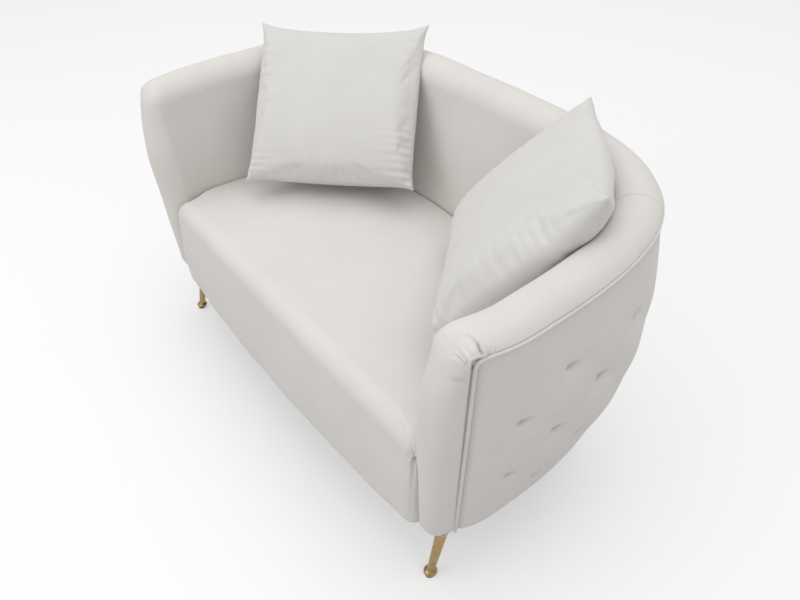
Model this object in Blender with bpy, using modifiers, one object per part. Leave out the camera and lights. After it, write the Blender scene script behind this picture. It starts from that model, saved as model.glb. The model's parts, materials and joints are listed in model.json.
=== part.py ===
"""Two-seater tub sofa with a padded roll, a buttoned outside and turned brass legs.

Metres, +Z up, the front towards -Y and the floor at Z = 0. The origin is the middle of the
footprint on the floor. The arms and the back are one wall that follows a curve in plan: places on
it are given by s, the length along that curve from the left arm front, by d, the distance outwards
from it, and by the height z.
"""

import math

import bmesh
import bpy
import numpy as np
from mathutils import Matrix

# Driving dimensions: the outside of the sofa
SOFA_WIDTH = 1.345
SOFA_DEPTH = 0.728
BACK_HEIGHT = 0.760
ARM_HEIGHT = 0.716
BASE_HEIGHT = 0.158
CORNER_POWER = 3.7

# Driving dimensions: the padded wall
ROLL_DIAMETER = 0.103
ARM_INSET = 0.0625
BACK_INSET = 0.0825
ARM_TUCK = 0.002
BACK_TUCK = 0.035
FRONT_LEAN = 0.035
LEAN_REACH = 0.25
TURN_IN = 0.020
TURN_REACH = 0.090
ROLL_FOAM = 0.026
ROLL_END = math.radians(28)
FACING_DEPTH = 0.055
FACING_ROUND = 0.026
FACING_LEVEL = 0.500
FACING_FALL = 0.94

# Driving dimensions: the buttoned outside panel
PANEL_BULGE = 0.050
BACK_BULGE = 0.040
BULGE_REACH = 0.450
PANEL_HEAD_EASE = 0.009
PANEL_TOP_OFFSET = 0.044
PANEL_EDGE = 0.0097
TUFT_DEPTH = 0.018
TUFT_COLUMNS = 11
TUFT_ROWS = 5
TUFT_MARGIN = 0.183
TUFT_CLEAR = 0.050
TUFT_TOP_SHARE = 0.764
TUFT_BOTTOM_SHARE = 0.148
WELT_RADIUS = 0.004

# Driving dimensions: the seat
SEAT_HEIGHT = 0.404
SEAT_CROWN = 0.036
SEAT_TUCK = 0.055
NOSE_BOW = 0.021
NOSE_REACH = 0.056
NOSE_ROUND = 0.042
NOSE_CORNER = 0.014
SIDE_ROUND = 0.014

# Driving dimensions: the timber frame and the suspension
PLY = 0.018
RAIL_HEIGHT = 0.100
TOP_RAIL_DROP = 0.034
TOP_RAIL_CREST = 0.016
POST_WIDTH = 0.045
STRETCHER_HEIGHT = 0.060
STRETCHER_SPAN = 0.360
BLOCK_HEIGHT = 0.045
BLOCK_LENGTH = 0.075
BLOCK_WIDTH = 0.080
LINER = 0.003
STRAP_WIDTH = 0.050
STRAP_THICKNESS = 0.002
STRAP_SEAT = 0.012
STRAP_PLACES = (-0.40, -0.25, -0.08, 0.08, 0.25, 0.40)
POST_SHARES = {"arm_front": 0.015, "arm_rear": 0.150, "corner": 0.250, "back": 0.412}
RAIL_JOINT_SHARE = 0.220

# Driving dimensions: legs
LEG_TOP_RADIUS = 0.0135
LEG_ANKLE_RADIUS = 0.0085
FOOT_RADIUS = 0.015
FOOT_HEIGHT = 0.015
GLIDE_RADIUS = 0.011
GLIDE_HEIGHT = 0.003
PLATE_SIZE = 0.046
PLATE_THICKNESS = 0.0025
FRONT_LEG_INSET = 0.051
FRONT_LEG_SETBACK = 0.002
REAR_LEG_SHARE = 0.250
REAR_LEG_INSET = 0.048
LEG_SPLAY = 0.034
LEG_STEPS = 12

# Driving dimensions: loose cushions
CUSHION_SIZE = 0.455
CUSHION_THICKNESS = 0.160
CUSHION_PINCH = 0.045
CUSHION_SLUMP = 0.55
CUSHION_BEND = 0.045
CUSHION_LEAN = math.radians(39)
CUSHION_YAW = math.radians(44)
LEFT_CUSHION_X = 0.334
RIGHT_CUSHION_X = 0.376
CUSHION_Y = 0.078

# Cloth thickness and clearances
COVER = 0.002
DUST_CLOTH = 0.001
GAP = 0.0003
SOFT_GAP = 0.0008
POST_CLEARANCE = 0.0024
SEAT_CLEARANCE = 0.0005
DUST_INSET = 0.012

# Fineness of the meshes
MERGE = 0.00001
PLAN_STEPS = 4001
TUFT_SPLIT = 4
MARGIN_SPLIT = 4
ROLL_STEPS = 8
LINER_STEPS = 3
CUSHION_STEPS = 9
ROLL_SAMPLES = 160
FRONT_STEPS = 8

# Sizes worked out from the driving dimensions
ROLL_RADIUS = ROLL_DIAMETER / 2
HALF_SPAN = SOFA_WIDTH / 2 - ROLL_RADIUS
BACK_LINE = SOFA_DEPTH / 2 - ROLL_RADIUS
NOSE_END = -SOFA_DEPTH / 2 + NOSE_BOW
ARM_FRONT = NOSE_END + NOSE_REACH
RAIL_TOP = BASE_HEIGHT + RAIL_HEIGHT
STRAP_TOP = RAIL_TOP + GAP + STRAP_THICKNESS
FOAM_BORE = ROLL_RADIUS - COVER - GAP - ROLL_FOAM
TOP_RAIL_HALF = FOAM_BORE - LINER - GAP - SOFT_GAP
OUTER_BUILD = PANEL_EDGE + LINER + GAP + SOFT_GAP
WELT_LEAD = WELT_RADIUS + GAP
WELT_REACH = ROLL_RADIUS - 0.75 * WELT_RADIUS
WELT_RISE = WELT_REACH * math.sin(ROLL_END) - WELT_LEAD * math.cos(ROLL_END)
WELT_OFFSET = WELT_REACH * math.cos(ROLL_END) + WELT_LEAD * math.sin(ROLL_END)
SEAT_HALF = HALF_SPAN - ARM_INSET - TURN_IN - SEAT_CLEARANCE
FRONT_RAIL_BACK = NOSE_REACH - GAP
APRON_FOAM = FRONT_RAIL_BACK - PLY - COVER - 2 * GAP


def clear_scene():
    """Removes every object of the open file."""
    for item in list(bpy.data.objects):
        bpy.data.objects.remove(item, do_unlink=True)


def make_collection(name):
    """Returns a new collection linked to the scene."""
    group = bpy.data.collections.new(name)
    bpy.context.scene.collection.children.link(group)
    return group


def make_finish(name, colour, roughness, metallic=0.0):
    """Returns a Principled material of one colour."""
    finish = bpy.data.materials.new(name)
    finish.use_nodes = True
    shader = finish.node_tree.nodes["Principled BSDF"]
    shader.inputs["Base Color"].default_value = (*colour, 1.0)
    shader.inputs["Roughness"].default_value = roughness
    shader.inputs["Metallic"].default_value = metallic
    return finish


clear_scene()
SOFA = make_collection("two_seater_sofa")
VELVET = make_finish("ivory_velvet", (0.66, 0.61, 0.57), 0.85)
CUSHION_VELVET = make_finish("white_velvet", (0.74, 0.71, 0.68), 0.85)
FOAM = make_finish("upholstery_foam", (0.80, 0.74, 0.52), 0.95)
TIMBER = make_finish("birch_plywood", (0.62, 0.45, 0.28), 0.65)
BOARD = make_finish("fibreboard", (0.36, 0.26, 0.17), 0.80)
WEBBING = make_finish("elastic_webbing", (0.10, 0.10, 0.11), 0.90)
DUST = make_finish("black_dust_cloth", (0.02, 0.02, 0.02), 0.95)
BRASS = make_finish("antique_brass", (0.60, 0.44, 0.22), 0.28, 1.0)
STEEL = make_finish("zinc_plate", (0.60, 0.60, 0.58), 0.40, 1.0)
PLASTIC = make_finish("black_glide", (0.03, 0.03, 0.03), 0.50)


def add_mesh(name, points, faces, finish, smooth=False):
    """Adds a closed mesh as an object, with its points joined and its faces turned outwards."""
    mesh = bpy.data.meshes.new(name)
    mesh.from_pydata([tuple(point) for point in points], [], faces)
    work = bmesh.new()
    work.from_mesh(mesh)
    bmesh.ops.remove_doubles(work, verts=work.verts[:], dist=MERGE)
    bmesh.ops.recalc_face_normals(work, faces=work.faces[:])
    if work.calc_volume(signed=True) < 0.0:
        bmesh.ops.reverse_faces(work, faces=work.faces[:])
    work.to_mesh(mesh)
    work.free()
    mesh.materials.append(finish)
    if smooth:
        mesh.shade_smooth()
        mesh.set_sharp_from_angle(angle=math.radians(40))
    item = bpy.data.objects.new(name, mesh)
    SOFA.objects.link(item)
    return item


def grid_quads(rows, columns, start=0, wrap=False, crease=None):
    """Returns the faces of a grid of rows by columns points, joined round the rows when wrap is set.

    With crease, a function of a quad's row and column, each quad is split in two: from its first to
    its third corner where crease is true, and across the other way where it isn't.
    """
    last = rows if wrap else rows - 1
    faces = []
    for i in range(last):
        here = start + i * columns
        there = start + ((i + 1) % rows) * columns
        for k in range(columns - 1):
            a, b, c, d = here + k, there + k, there + k + 1, here + k + 1
            if crease is None:
                faces.append((a, b, c, d))
            elif crease(i, k):
                faces.extend([(a, b, c), (a, c, d)])
            else:
                faces.extend([(a, b, d), (b, c, d)])
    return faces


def add_sheet(name, face, back, finish, smooth=True, crease=None):
    """Adds the solid between two surfaces that have the same grid of points."""
    rows, columns = face.shape[:2]
    count = rows * columns
    quads = grid_quads(rows, columns, crease=crease) + grid_quads(rows, columns, count, crease=crease)
    for k in range(columns - 1):
        for i in (0, rows - 1):
            edge = i * columns + k
            quads.append((edge, edge + 1, count + edge + 1, count + edge))
    for i in range(rows - 1):
        for k in (0, columns - 1):
            edge = i * columns + k
            quads.append((edge, edge + columns, count + edge + columns, count + edge))
    points = np.concatenate([face.reshape(-1, 3), back.reshape(-1, 3)])
    return add_mesh(name, points, quads, finish, smooth)


def add_loft(name, rings, finish, smooth=False):
    """Adds the solid through a row of closed rings, with a flat cap at each end."""
    rings = np.asarray(rings)
    count, size = rings.shape[:2]
    points = rings.transpose(1, 0, 2).reshape(-1, 3)
    faces = grid_quads(size, count, wrap=True)
    faces.append([i * count for i in range(size)])
    faces.append([i * count + count - 1 for i in range(size)])
    return add_mesh(name, points, faces, finish, smooth)


def add_box(name, low, high, finish):
    """Adds a box between two corners."""
    low = np.asarray(low)
    high = np.asarray(high)
    bpy.ops.mesh.primitive_cube_add(size=1.0)
    item = bpy.context.object
    item.name = name
    item.data.name = name
    item.data.transform(Matrix.Diagonal((*(high - low), 1.0)))
    item.location = (low + high) / 2
    item.data.materials.append(finish)
    for group in item.users_collection:
        group.objects.unlink(item)
    SOFA.objects.link(item)
    return item


def plan_curve():
    """The roll's centre line in plan: half a superellipse from the left arm front to the right one."""
    turn = np.linspace(0.0, np.pi, PLAN_STEPS)
    across = -np.cos(turn)
    along = np.clip(np.sin(turn), 0.0, 1.0)
    x = HALF_SPAN * np.sign(across) * np.abs(across) ** (2 / CORNER_POWER)
    y = ARM_FRONT + (BACK_LINE - ARM_FRONT) * along ** (2 / CORNER_POWER)
    length = np.concatenate([[0.0], np.cumsum(np.hypot(np.diff(x), np.diff(y)))])
    return x, y, length


PLAN_X, PLAN_Y, PLAN_S = plan_curve()
PLAN_LENGTH = PLAN_S[-1]
REAR_LEG_S = REAR_LEG_SHARE * PLAN_LENGTH


def station(s):
    """Returns x, y and the outward normal at length s. The line runs straight on past the arm fronts."""
    held = np.clip(s, 0.0, PLAN_LENGTH)
    x = np.interp(held, PLAN_S, PLAN_X)
    y = np.interp(held, PLAN_S, PLAN_Y)
    slope_x = np.sign(x) * np.abs(x / HALF_SPAN) ** (CORNER_POWER - 1) / HALF_SPAN
    reach = BACK_LINE - ARM_FRONT
    slope_y = np.abs((y - ARM_FRONT) / reach) ** (CORNER_POWER - 1) / reach
    size = np.hypot(slope_x, slope_y)
    beyond = np.abs(s - held)
    return x, y - beyond, slope_x / size, slope_y / size


def back_share(s):
    """How much of the back's section holds at s: 0 on the arms, 1 in the middle of the back."""
    return station(s)[3] ** 2


def roll_height(s):
    """Height of the roll's centre, which falls evenly from the back to the arm fronts."""
    y = station(np.clip(s, 0.0, PLAN_LENGTH))[1]
    share = (y - ARM_FRONT) / (BACK_LINE - ARM_FRONT)
    return ARM_HEIGHT - ROLL_RADIUS + (BACK_HEIGHT - ARM_HEIGHT) * share


def wall_point(s, d, z):
    """Returns the point of the wall at s, d and z. The arm fronts turn in and lean forward to their tops."""
    s, d, z = np.broadcast_arrays(np.asarray(s, float), np.asarray(d, float), np.asarray(z, float))
    x, y, normal_x, normal_y = station(s)
    end = np.maximum(np.minimum(s, PLAN_LENGTH - s), 0.0)
    climb = (z - BASE_HEIGHT) / (ARM_HEIGHT - BASE_HEIGHT)
    lean = FRONT_LEAN * climb * np.clip(1.0 - end / LEAN_REACH, 0.0, 1.0) ** 2
    turn = TURN_IN * np.sign(x) * np.clip(1.0 - end / TURN_REACH, 0.0, 1.0) ** 2
    return np.stack([x + normal_x * d - turn, y + normal_y * d - lean, z], axis=-1)


def inside_offset(s):
    """Offset of the wall's inside face at the seat."""
    return -(ARM_INSET + (BACK_INSET - ARM_INSET) * back_share(s))


def base_offset(s):
    """Offset of the outside panel's lower edge."""
    return -(ARM_TUCK + (BACK_TUCK - ARM_TUCK) * back_share(s))


def rail_face(s):
    """Offset of the base rail's outer face."""
    return base_offset(s) - OUTER_BUILD


def frame_line(s, z):
    """Offset of the posts' inner face: straight from the base rail up to the top rail."""
    foot = rail_face(s) - PLY
    share = (z - RAIL_TOP) / (roll_height(s) - RAIL_TOP)
    return foot + (-TOP_RAIL_HALF - foot) * share


def liner_line(s, z):
    """Offset of the outer liner's inner face: upright on the base rail, then straight to the top rail."""
    foot = rail_face(s) + GAP
    share = (z - RAIL_TOP) / (roll_height(s) - TOP_RAIL_DROP - RAIL_TOP)
    return foot + (TOP_RAIL_HALF + GAP - foot) * np.maximum(share, 0.0)


def tuft_pitch():
    """Distance between two buttons of one row."""
    return (PLAN_LENGTH - 2 * TUFT_MARGIN) / (TUFT_COLUMNS - 1)


def stations(start=0.0, stop=None):
    """Lengths s of the wall's sections, which divide the buttons' pitch evenly and go on so into the margins."""
    first = TUFT_MARGIN - (MARGIN_SPLIT - 1) * tuft_pitch() / TUFT_SPLIT
    count = (TUFT_COLUMNS - 1) * TUFT_SPLIT + 2 * (MARGIN_SPLIT - 1) + 1
    middle = np.linspace(first, PLAN_LENGTH - first, count)
    every = np.concatenate([[0.0, first / 2], middle, [PLAN_LENGTH - first / 2, PLAN_LENGTH]])
    stop = PLAN_LENGTH if stop is None else stop
    inner = every[(every > start + POST_CLEARANCE) & (every < stop - POST_CLEARANCE)]
    return np.concatenate([[start], inner, [stop]])


def wall_levels(centre):
    """Heights of the wall's inside below the roll: in the tuck, at the seat and half way up."""
    tuck = np.full_like(centre, SEAT_HEIGHT - SEAT_TUCK)
    seat = np.full_like(centre, SEAT_HEIGHT)
    return np.concatenate([tuck, seat, (SEAT_HEIGHT + centre) / 2], axis=1)


def inside_layer(s, depth):
    """Surface of the wall's inside at a depth below the cover: up from the seat and over the roll."""
    column = s[:, None]
    centre = roll_height(column)
    face = inside_offset(column) + depth
    wall_z = wall_levels(centre)
    middle = (face - ROLL_RADIUS + depth) / 2
    wall_d = np.concatenate([face, face, middle], axis=1)
    turn = np.linspace(math.pi, ROLL_END, ROLL_STEPS + 1)[None, :]
    radius = ROLL_RADIUS - depth
    roll_d = radius * np.cos(turn) + 0.0 * centre
    roll_z = centre + radius * np.sin(turn)
    return wall_point(column, np.concatenate([wall_d, roll_d], 1), np.concatenate([wall_z, roll_z], 1))


def foam_back(s):
    """Surface where the inside foam lies on the inner liner and round the top rail."""
    column = s[:, None]
    centre = roll_height(column)
    wall_z = wall_levels(centre)
    wall_d = frame_line(column, wall_z) - LINER - GAP - SOFT_GAP
    turn = np.linspace(math.pi, ROLL_END, ROLL_STEPS + 1)[None, :]
    roll_d = FOAM_BORE * np.cos(turn) + 0.0 * centre
    roll_z = centre + FOAM_BORE * np.sin(turn)
    return wall_point(column, np.concatenate([wall_d, roll_d], 1), np.concatenate([wall_z, roll_z], 1))


def add_inside_padding():
    """Inside foam and cover: one piece each, from the seat up the wall and over the roll."""
    s = stations()
    add_sheet("inside_cover", inside_layer(s, 0.0), inside_layer(s, COVER), VELVET)
    add_sheet("inside_foam", inside_layer(s, COVER + GAP), foam_back(s), FOAM)


def panel_top(s):
    """Height of the outside panel's upper edge, just below the welt."""
    return roll_height(s) + WELT_RISE - WELT_LEAD


def panel_height(s, share):
    """Height on the outside panel at a share of the way from its lower to its upper edge."""
    return BASE_HEIGHT + (panel_top(s) - BASE_HEIGHT) * share


def panel_swell(s, share):
    """Offset of the outside panel's face without its buttons: tapered in at the foot and swollen."""
    foot = base_offset(s)
    fade = np.clip(np.minimum(s, PLAN_LENGTH - s) / BULGE_REACH, 0.0, 1.0)
    most = PANEL_BULGE + (BACK_BULGE - PANEL_BULGE) * back_share(s) ** 2
    bulge = most * fade * (2.0 - fade) * np.sin(np.pi * share)
    return foot + (PANEL_TOP_OFFSET - foot) * share + bulge


def tuft_sink(s, share):
    """Depth of the buttoning: a product of cosines, deepest at the buttons of a diamond lattice."""
    row_step = (TUFT_TOP_SHARE - TUFT_BOTTOM_SHARE) / (TUFT_ROWS - 1)
    column = (s - TUFT_MARGIN) / (tuft_pitch() / 2)
    row = (share - TUFT_BOTTOM_SHARE) / row_step
    wave = 0.5 + 0.5 * np.cos(np.pi * column) * np.cos(np.pi * row)
    edge_s = np.clip(np.minimum(s, PLAN_LENGTH - s) / TUFT_CLEAR - 1.0, 0.0, 1.0)
    edge_row = np.clip(np.minimum(share / TUFT_BOTTOM_SHARE, (1 - share) / (1 - TUFT_TOP_SHARE)), 0, 1)
    return TUFT_DEPTH * wave ** 1.5 * edge_s * edge_row


def add_outside_panel():
    """Outer liner board and, on it, the padded and buttoned outside panel."""
    front = 2 * WELT_LEAD
    s = stations(front, PLAN_LENGTH - front)[:, None]
    rows = np.linspace(TUFT_BOTTOM_SHARE, TUFT_TOP_SHARE, 2 * (TUFT_ROWS - 1) + 1)
    share = np.concatenate([[0.0, TUFT_BOTTOM_SHARE / 2], rows, [(1 + TUFT_TOP_SHARE) / 2, 1.0]])[None, :]
    height = panel_height(s, share)
    face = wall_point(s, panel_swell(s, share) - tuft_sink(s, share), height)
    crest = roll_height(s) - TOP_RAIL_DROP
    above = np.clip((height - crest) / (panel_top(s) - crest), 0.0, 1.0)
    back = wall_point(s, liner_line(s, height) + LINER + SOFT_GAP + PANEL_HEAD_EASE * above, height)
    add_sheet("outside_tufted_panel", face, back, VELVET, crease=lambda i, k: (i - k) % 2 == 1)
    climb = np.linspace(0.0, 1.0, LINER_STEPS + 1)[None, :]
    low = np.full_like(crest, BASE_HEIGHT + GAP)
    levels = np.concatenate([low, RAIL_TOP + (crest - RAIL_TOP) * climb], axis=1)
    inner = wall_point(s, liner_line(s, levels), levels)
    outer = wall_point(s, liner_line(s, levels) + LINER, levels)
    add_sheet("outer_liner_board", outer, inner, BOARD)


def add_welt():
    """Piping from the foot of one arm front, under the roll all the way round, to the other foot."""
    rise = np.linspace(0.02, 0.93, 6)
    foot_s = np.full_like(rise, WELT_LEAD)
    foot = wall_point(foot_s, panel_swell(foot_s, rise) - WELT_RADIUS / 4, panel_height(foot_s, rise))
    bend = np.linspace(math.pi, math.pi / 2, 4)
    bend_s = WELT_LEAD * (2 + np.cos(bend))
    bend_z = panel_top(bend_s) + WELT_LEAD * np.sin(bend)
    ease = np.linspace(0.0, 1.0, len(bend))
    start = PANEL_TOP_OFFSET - WELT_RADIUS / 4
    corner = wall_point(bend_s, start + (WELT_OFFSET - start) * ease, bend_z)
    run = stations()[1:-1]
    line = wall_point(run, WELT_OFFSET, roll_height(run) + WELT_RISE)
    arm = np.concatenate([foot, corner])
    mirror = np.array([-1.0, 1.0, 1.0])
    points = np.concatenate([arm, line, arm[::-1] * mirror])
    curve = bpy.data.curves.new("outer_welt", "CURVE")
    curve.dimensions = "3D"
    curve.bevel_depth = WELT_RADIUS
    curve.bevel_resolution = 1
    curve.use_fill_caps = True
    spline = curve.splines.new("POLY")
    spline.points.add(len(points) - 1)
    for knot, point in zip(spline.points, points):
        knot.co = (*point, 1.0)
    curve.materials.append(VELVET)
    SOFA.objects.link(bpy.data.objects.new("outer_welt", curve))


def facing_outline(s):
    """Section of an arm at its front as offsets and heights: up the inside, over the roll, down outside."""
    centre = float(roll_height(s))
    face = float(inside_offset(s))
    turn = np.linspace(math.pi, ROLL_END, ROLL_STEPS + 1)
    inside = np.array([[face, BASE_HEIGHT], [face, (BASE_HEIGHT + SEAT_HEIGHT) / 2], [face, SEAT_HEIGHT],
                       [(face - ROLL_RADIUS) / 2, (SEAT_HEIGHT + centre) / 2]])
    roll = np.stack([ROLL_RADIUS * np.cos(turn), centre + ROLL_RADIUS * np.sin(turn)], axis=1)
    share = np.linspace(0.94, 0.0, 7)
    outside = np.stack([panel_swell(s, share), panel_height(s, share)], axis=1)
    return np.concatenate([inside, roll, outside])


def inset_outline(outline, amount):
    """Moves each point of an outline inwards by amount, square to the outline."""
    along = np.roll(outline, -1, axis=0) - np.roll(outline, 1, axis=0)
    inward = np.stack([along[:, 1], -along[:, 0]], axis=1)
    return outline + amount * inward / np.linalg.norm(inward, axis=1)[:, None]


def facing_depth(z):
    """Depth of an arm front's padding: even low down, falling off where it rounds over to the roll's top."""
    over = np.clip((z - FACING_LEVEL) / (ARM_HEIGHT - FACING_LEVEL), 0.0, 1.0)
    return FACING_DEPTH * (1.0 - FACING_FALL * over ** 2)


def add_arm_facings():
    """Padded bullnose on each arm front."""
    steps = ((0.0, 0.0), (0.35, 0.04), (0.70, 0.25), (0.92, 0.62), (1.0, 1.0))
    for side, end, forward in (("left", 0.0, -1.0), ("right", PLAN_LENGTH, 1.0)):
        outline = facing_outline(end)
        rings = []
        for reach, inset in steps:
            ring = inset_outline(outline, FACING_ROUND * inset)
            place = end + forward * np.maximum(GAP, facing_depth(ring[:, 1]) * reach)
            rings.append(wall_point(place, ring[:, 0], ring[:, 1]))
        add_loft(side + "_arm_facing", rings, VELVET, smooth=True)


def nose_line(x):
    """The seat's front edge in plan: a shallow bow between the arms."""
    return NOSE_END - NOSE_BOW * (1.0 - (x / SEAT_HALF) ** 2)


def seat_outline():
    """The seat in plan, clockwise from the left end of the nose: along the front, then round the wall."""
    x = np.linspace(NOSE_CORNER - SEAT_HALF, SEAT_HALF - NOSE_CORNER, FRONT_STEPS + 1)
    front = np.stack([x, nose_line(x)], axis=1)
    turn = np.array([SEAT_HALF, NOSE_END + NOSE_CORNER])
    s = stations()[::-2]
    wall = wall_point(s, inside_offset(s) - SEAT_CLEARANCE, BASE_HEIGHT)[:, :2]
    return np.concatenate([front, [turn], wall, [turn * (-1.0, 1.0)]])


def seat_rings(depth, skirt):
    """Rings of the seat's surface at a depth below the cover, from the skirt to near the middle."""
    outline = seat_outline()
    middle = np.array([0.0, (NOSE_END - NOSE_BOW + BACK_LINE) / 2])
    spoke = outline - middle
    reach = np.linalg.norm(spoke, axis=1)
    front = np.clip((ARM_FRONT - outline[:, 1]) / NOSE_REACH, 0.0, 1.0)
    rounding = SIDE_ROUND + (NOSE_ROUND - SIDE_ROUND) * front
    rings = [(depth + 0.0 * reach, skirt), (depth + 0.0 * reach, None)]
    for turn in np.radians((30.0, 60.0, 90.0)):
        rings.append((rounding - (rounding - depth) * np.cos(turn), (rounding, turn)))
    for share in (0.66, 0.30):
        rings.append((reach - (reach - rounding) * share, (rounding, math.pi / 2)))
    placed = []
    for inset, level in rings:
        scale = 1.0 - inset / reach
        plan = middle + spoke * scale[:, None]
        if level is skirt:
            z = np.where(outline[:, 1] < ARM_FRONT - GAP, skirt[0], skirt[1])
        else:
            edge, turn = (rounding, 0.0) if level is None else level
            z = seat_level(plan) - edge + (edge - depth) * math.sin(turn)
        placed.append(np.column_stack([plan, z]))
    pole = np.array([*middle, float(seat_level(middle[None, :])[0]) - depth])
    return np.array(placed), pole


def seat_level(plan):
    """Height of the crowned seat at points in plan: highest in the middle, level at the arms and back."""
    across = np.clip(plan[:, 0] / SEAT_HALF, -1.0, 1.0)
    back = BACK_LINE - BACK_INSET
    along = np.clip((plan[:, 1] - NOSE_END) / (back - NOSE_END), 0.0, 1.0)
    return SEAT_HEIGHT + SEAT_CROWN * (1.0 - across ** 2) * (1.0 - along ** 4)


def dome_faces(count, size, start):
    """Faces of stacked rings that close on a pole, the point after the last ring."""
    faces = []
    for i in range(count - 1):
        for k in range(size):
            here = start + i * size
            there = here + size
            nxt = (k + 1) % size
            faces.append((here + k, here + nxt, there + nxt, there + k))
    last = start + (count - 1) * size
    pole = start + count * size
    for k in range(size):
        faces.append((last + k, last + (k + 1) % size, pole))
    return faces


def add_seat():
    """Seat foam block and the seat cover over it, which runs down in front as the apron."""
    outer, outer_pole = seat_rings(0.0, (BASE_HEIGHT, SEAT_HEIGHT - SEAT_TUCK))
    inner, inner_pole = seat_rings(COVER, (BASE_HEIGHT, SEAT_HEIGHT - SEAT_TUCK))
    count, size = outer.shape[:2]
    total = count * size + 1
    faces = dome_faces(count, size, 0) + dome_faces(count, size, total)
    for k in range(size):
        nxt = (k + 1) % size
        faces.append((k, nxt, total + nxt, total + k))
    points = np.concatenate([outer.reshape(-1, 3), [outer_pole], inner.reshape(-1, 3), [inner_pole]])
    add_mesh("seat_cover", points, faces, VELVET, smooth=True)
    level = STRAP_TOP + GAP
    block, block_pole = seat_rings(COVER + GAP, (level, level))
    faces = dome_faces(count, size, 0)
    faces.append(list(range(size)))
    add_mesh("seat_foam", np.concatenate([block.reshape(-1, 3), [block_pole]]), faces, FOAM, smooth=True)


def front_knots():
    """The x of the joints between the facets of the boards behind the nose."""
    half = SEAT_HALF - NOSE_CORNER - COVER
    return np.linspace(-half, half, FRONT_STEPS + 1)


def front_rail_back(x):
    """The y of the front rail's back face at x."""
    knots = front_knots()
    return float(np.interp(x, knots, nose_line(knots))) + FRONT_RAIL_BACK


def bowed_board(name, near, far, low, high, finish):
    """Adds a board that follows the bow of the nose between two distances behind it."""
    x = front_knots()[:, None]
    z = np.array([[low, high]])
    grid_x, grid_z = np.broadcast_arrays(x, z)
    line = nose_line(grid_x)
    face = np.stack([grid_x, line + near, grid_z], axis=-1)
    back = np.stack([grid_x, line + far, grid_z], axis=-1)
    add_sheet(name, face, back, finish, smooth=False)


def add_front():
    """Front base rail and the thin foam on it, both behind the apron."""
    soft = COVER + GAP
    bowed_board("apron_foam", soft, soft + APRON_FOAM, BASE_HEIGHT + GAP, RAIL_TOP - GAP, FOAM)
    rail = soft + APRON_FOAM + GAP
    bowed_board("front_base_rail", rail, rail + PLY, BASE_HEIGHT, RAIL_TOP, TIMBER)


def wall_pieces():
    """The wall's three lengths with their ends: left arm, back and right arm. They meet at a section."""
    sections = stations()
    near = sections[np.argmin(np.abs(sections - RAIL_JOINT_SHARE * PLAN_LENGTH))]
    far = PLAN_LENGTH - near
    return (("left", GAP, near), ("back", near + GAP, far - GAP), ("right", far, PLAN_LENGTH - GAP))


def add_wall_rails():
    """Base rails and shaped top rails of the wall, each in three lengths."""
    for side, start, stop in wall_pieces():
        s = stations(start, stop)[:, None]
        levels = np.array([[BASE_HEIGHT, RAIL_TOP]])
        outer = wall_point(s, rail_face(s) + 0.0 * levels, levels + 0.0 * s)
        inner = wall_point(s, rail_face(s) - PLY + 0.0 * levels, levels + 0.0 * s)
        add_sheet(side + "_base_rail", outer, inner, TIMBER, smooth=False)
        half = TOP_RAIL_HALF
        crown = 0.6 * half
        shoulder = TOP_RAIL_CREST / 4
        d = np.array([[-half, -half, -crown, crown, half, half]])
        dz = np.array([[-TOP_RAIL_DROP, shoulder, TOP_RAIL_CREST, TOP_RAIL_CREST, shoulder, -TOP_RAIL_DROP]])
        rings = wall_point(s, d + 0.0 * s, roll_height(s) + dz)
        add_loft(side + "_top_rail", rings, TIMBER)


def add_inner_liner():
    """Thin board on the inside of the posts that carries the inside foam."""
    s = stations()[:, None]
    crest = roll_height(s)
    low = np.full_like(crest, STRAP_TOP + COVER)
    levels = np.concatenate([low, wall_levels(crest), crest], axis=1)
    back = frame_line(s, levels) - GAP
    add_sheet("inner_liner_board", wall_point(s, back - LINER, levels), wall_point(s, back, levels), BOARD)


def add_posts():
    """Plywood posts between the base rails and the top rails."""
    for place, share in POST_SHARES.items():
        at = share * PLAN_LENGTH
        for side, middle in (("left", at), ("right", PLAN_LENGTH - at)):
            ends = middle + POST_WIDTH / 2 * np.array([-1.0, 1.0, 1.0, -1.0])
            deep = np.array([0.0, 0.0, 1.0, 1.0]) * (PLY - 2 * POST_CLEARANCE) + POST_CLEARANCE
            rings = []
            for z in (np.full(4, RAIL_TOP + GAP), roll_height(ends) - TOP_RAIL_DROP - GAP):
                rings.append(wall_point(ends, frame_line(ends, z) + deep, z))
            add_loft(side + "_" + place + "_post", rings, TIMBER)


def wall_line_y(x, d):
    """The y at which the wall's line, moved by d, crosses x on its way along the back."""
    s = np.linspace(PLAN_LENGTH / 4, 3 * PLAN_LENGTH / 4, PLAN_STEPS)
    line = wall_point(s, d(s), RAIL_TOP)
    return float(np.interp(x, line[:, 0], line[:, 1]))


def add_suspension():
    """Elastic straps from the front rail to the back rail, and two stretchers below them."""
    for number, x in enumerate(STRAP_PLACES, start=1):
        front = front_rail_back(x) - STRAP_SEAT
        back = wall_line_y(x, lambda s: rail_face(s) - PLY) + STRAP_SEAT / 2
        low = (x - STRAP_WIDTH / 2, front, RAIL_TOP + GAP)
        high = (x + STRAP_WIDTH / 2, back, STRAP_TOP)
        add_box("seat_strap_" + str(number), low, high, WEBBING)
    for side, x in (("left", -STRETCHER_SPAN / 2), ("right", STRETCHER_SPAN / 2)):
        edges = (x - PLY / 2, x + PLY / 2)
        front = max(front_rail_back(edge) for edge in edges) + GAP
        back = min(wall_line_y(edge, lambda s: rail_face(s) - PLY) for edge in edges) - GAP
        low = (edges[0], front, BASE_HEIGHT)
        high = (edges[1], back, BASE_HEIGHT + STRETCHER_HEIGHT)
        add_box(side + "_seat_stretcher", low, high, TIMBER)


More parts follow.
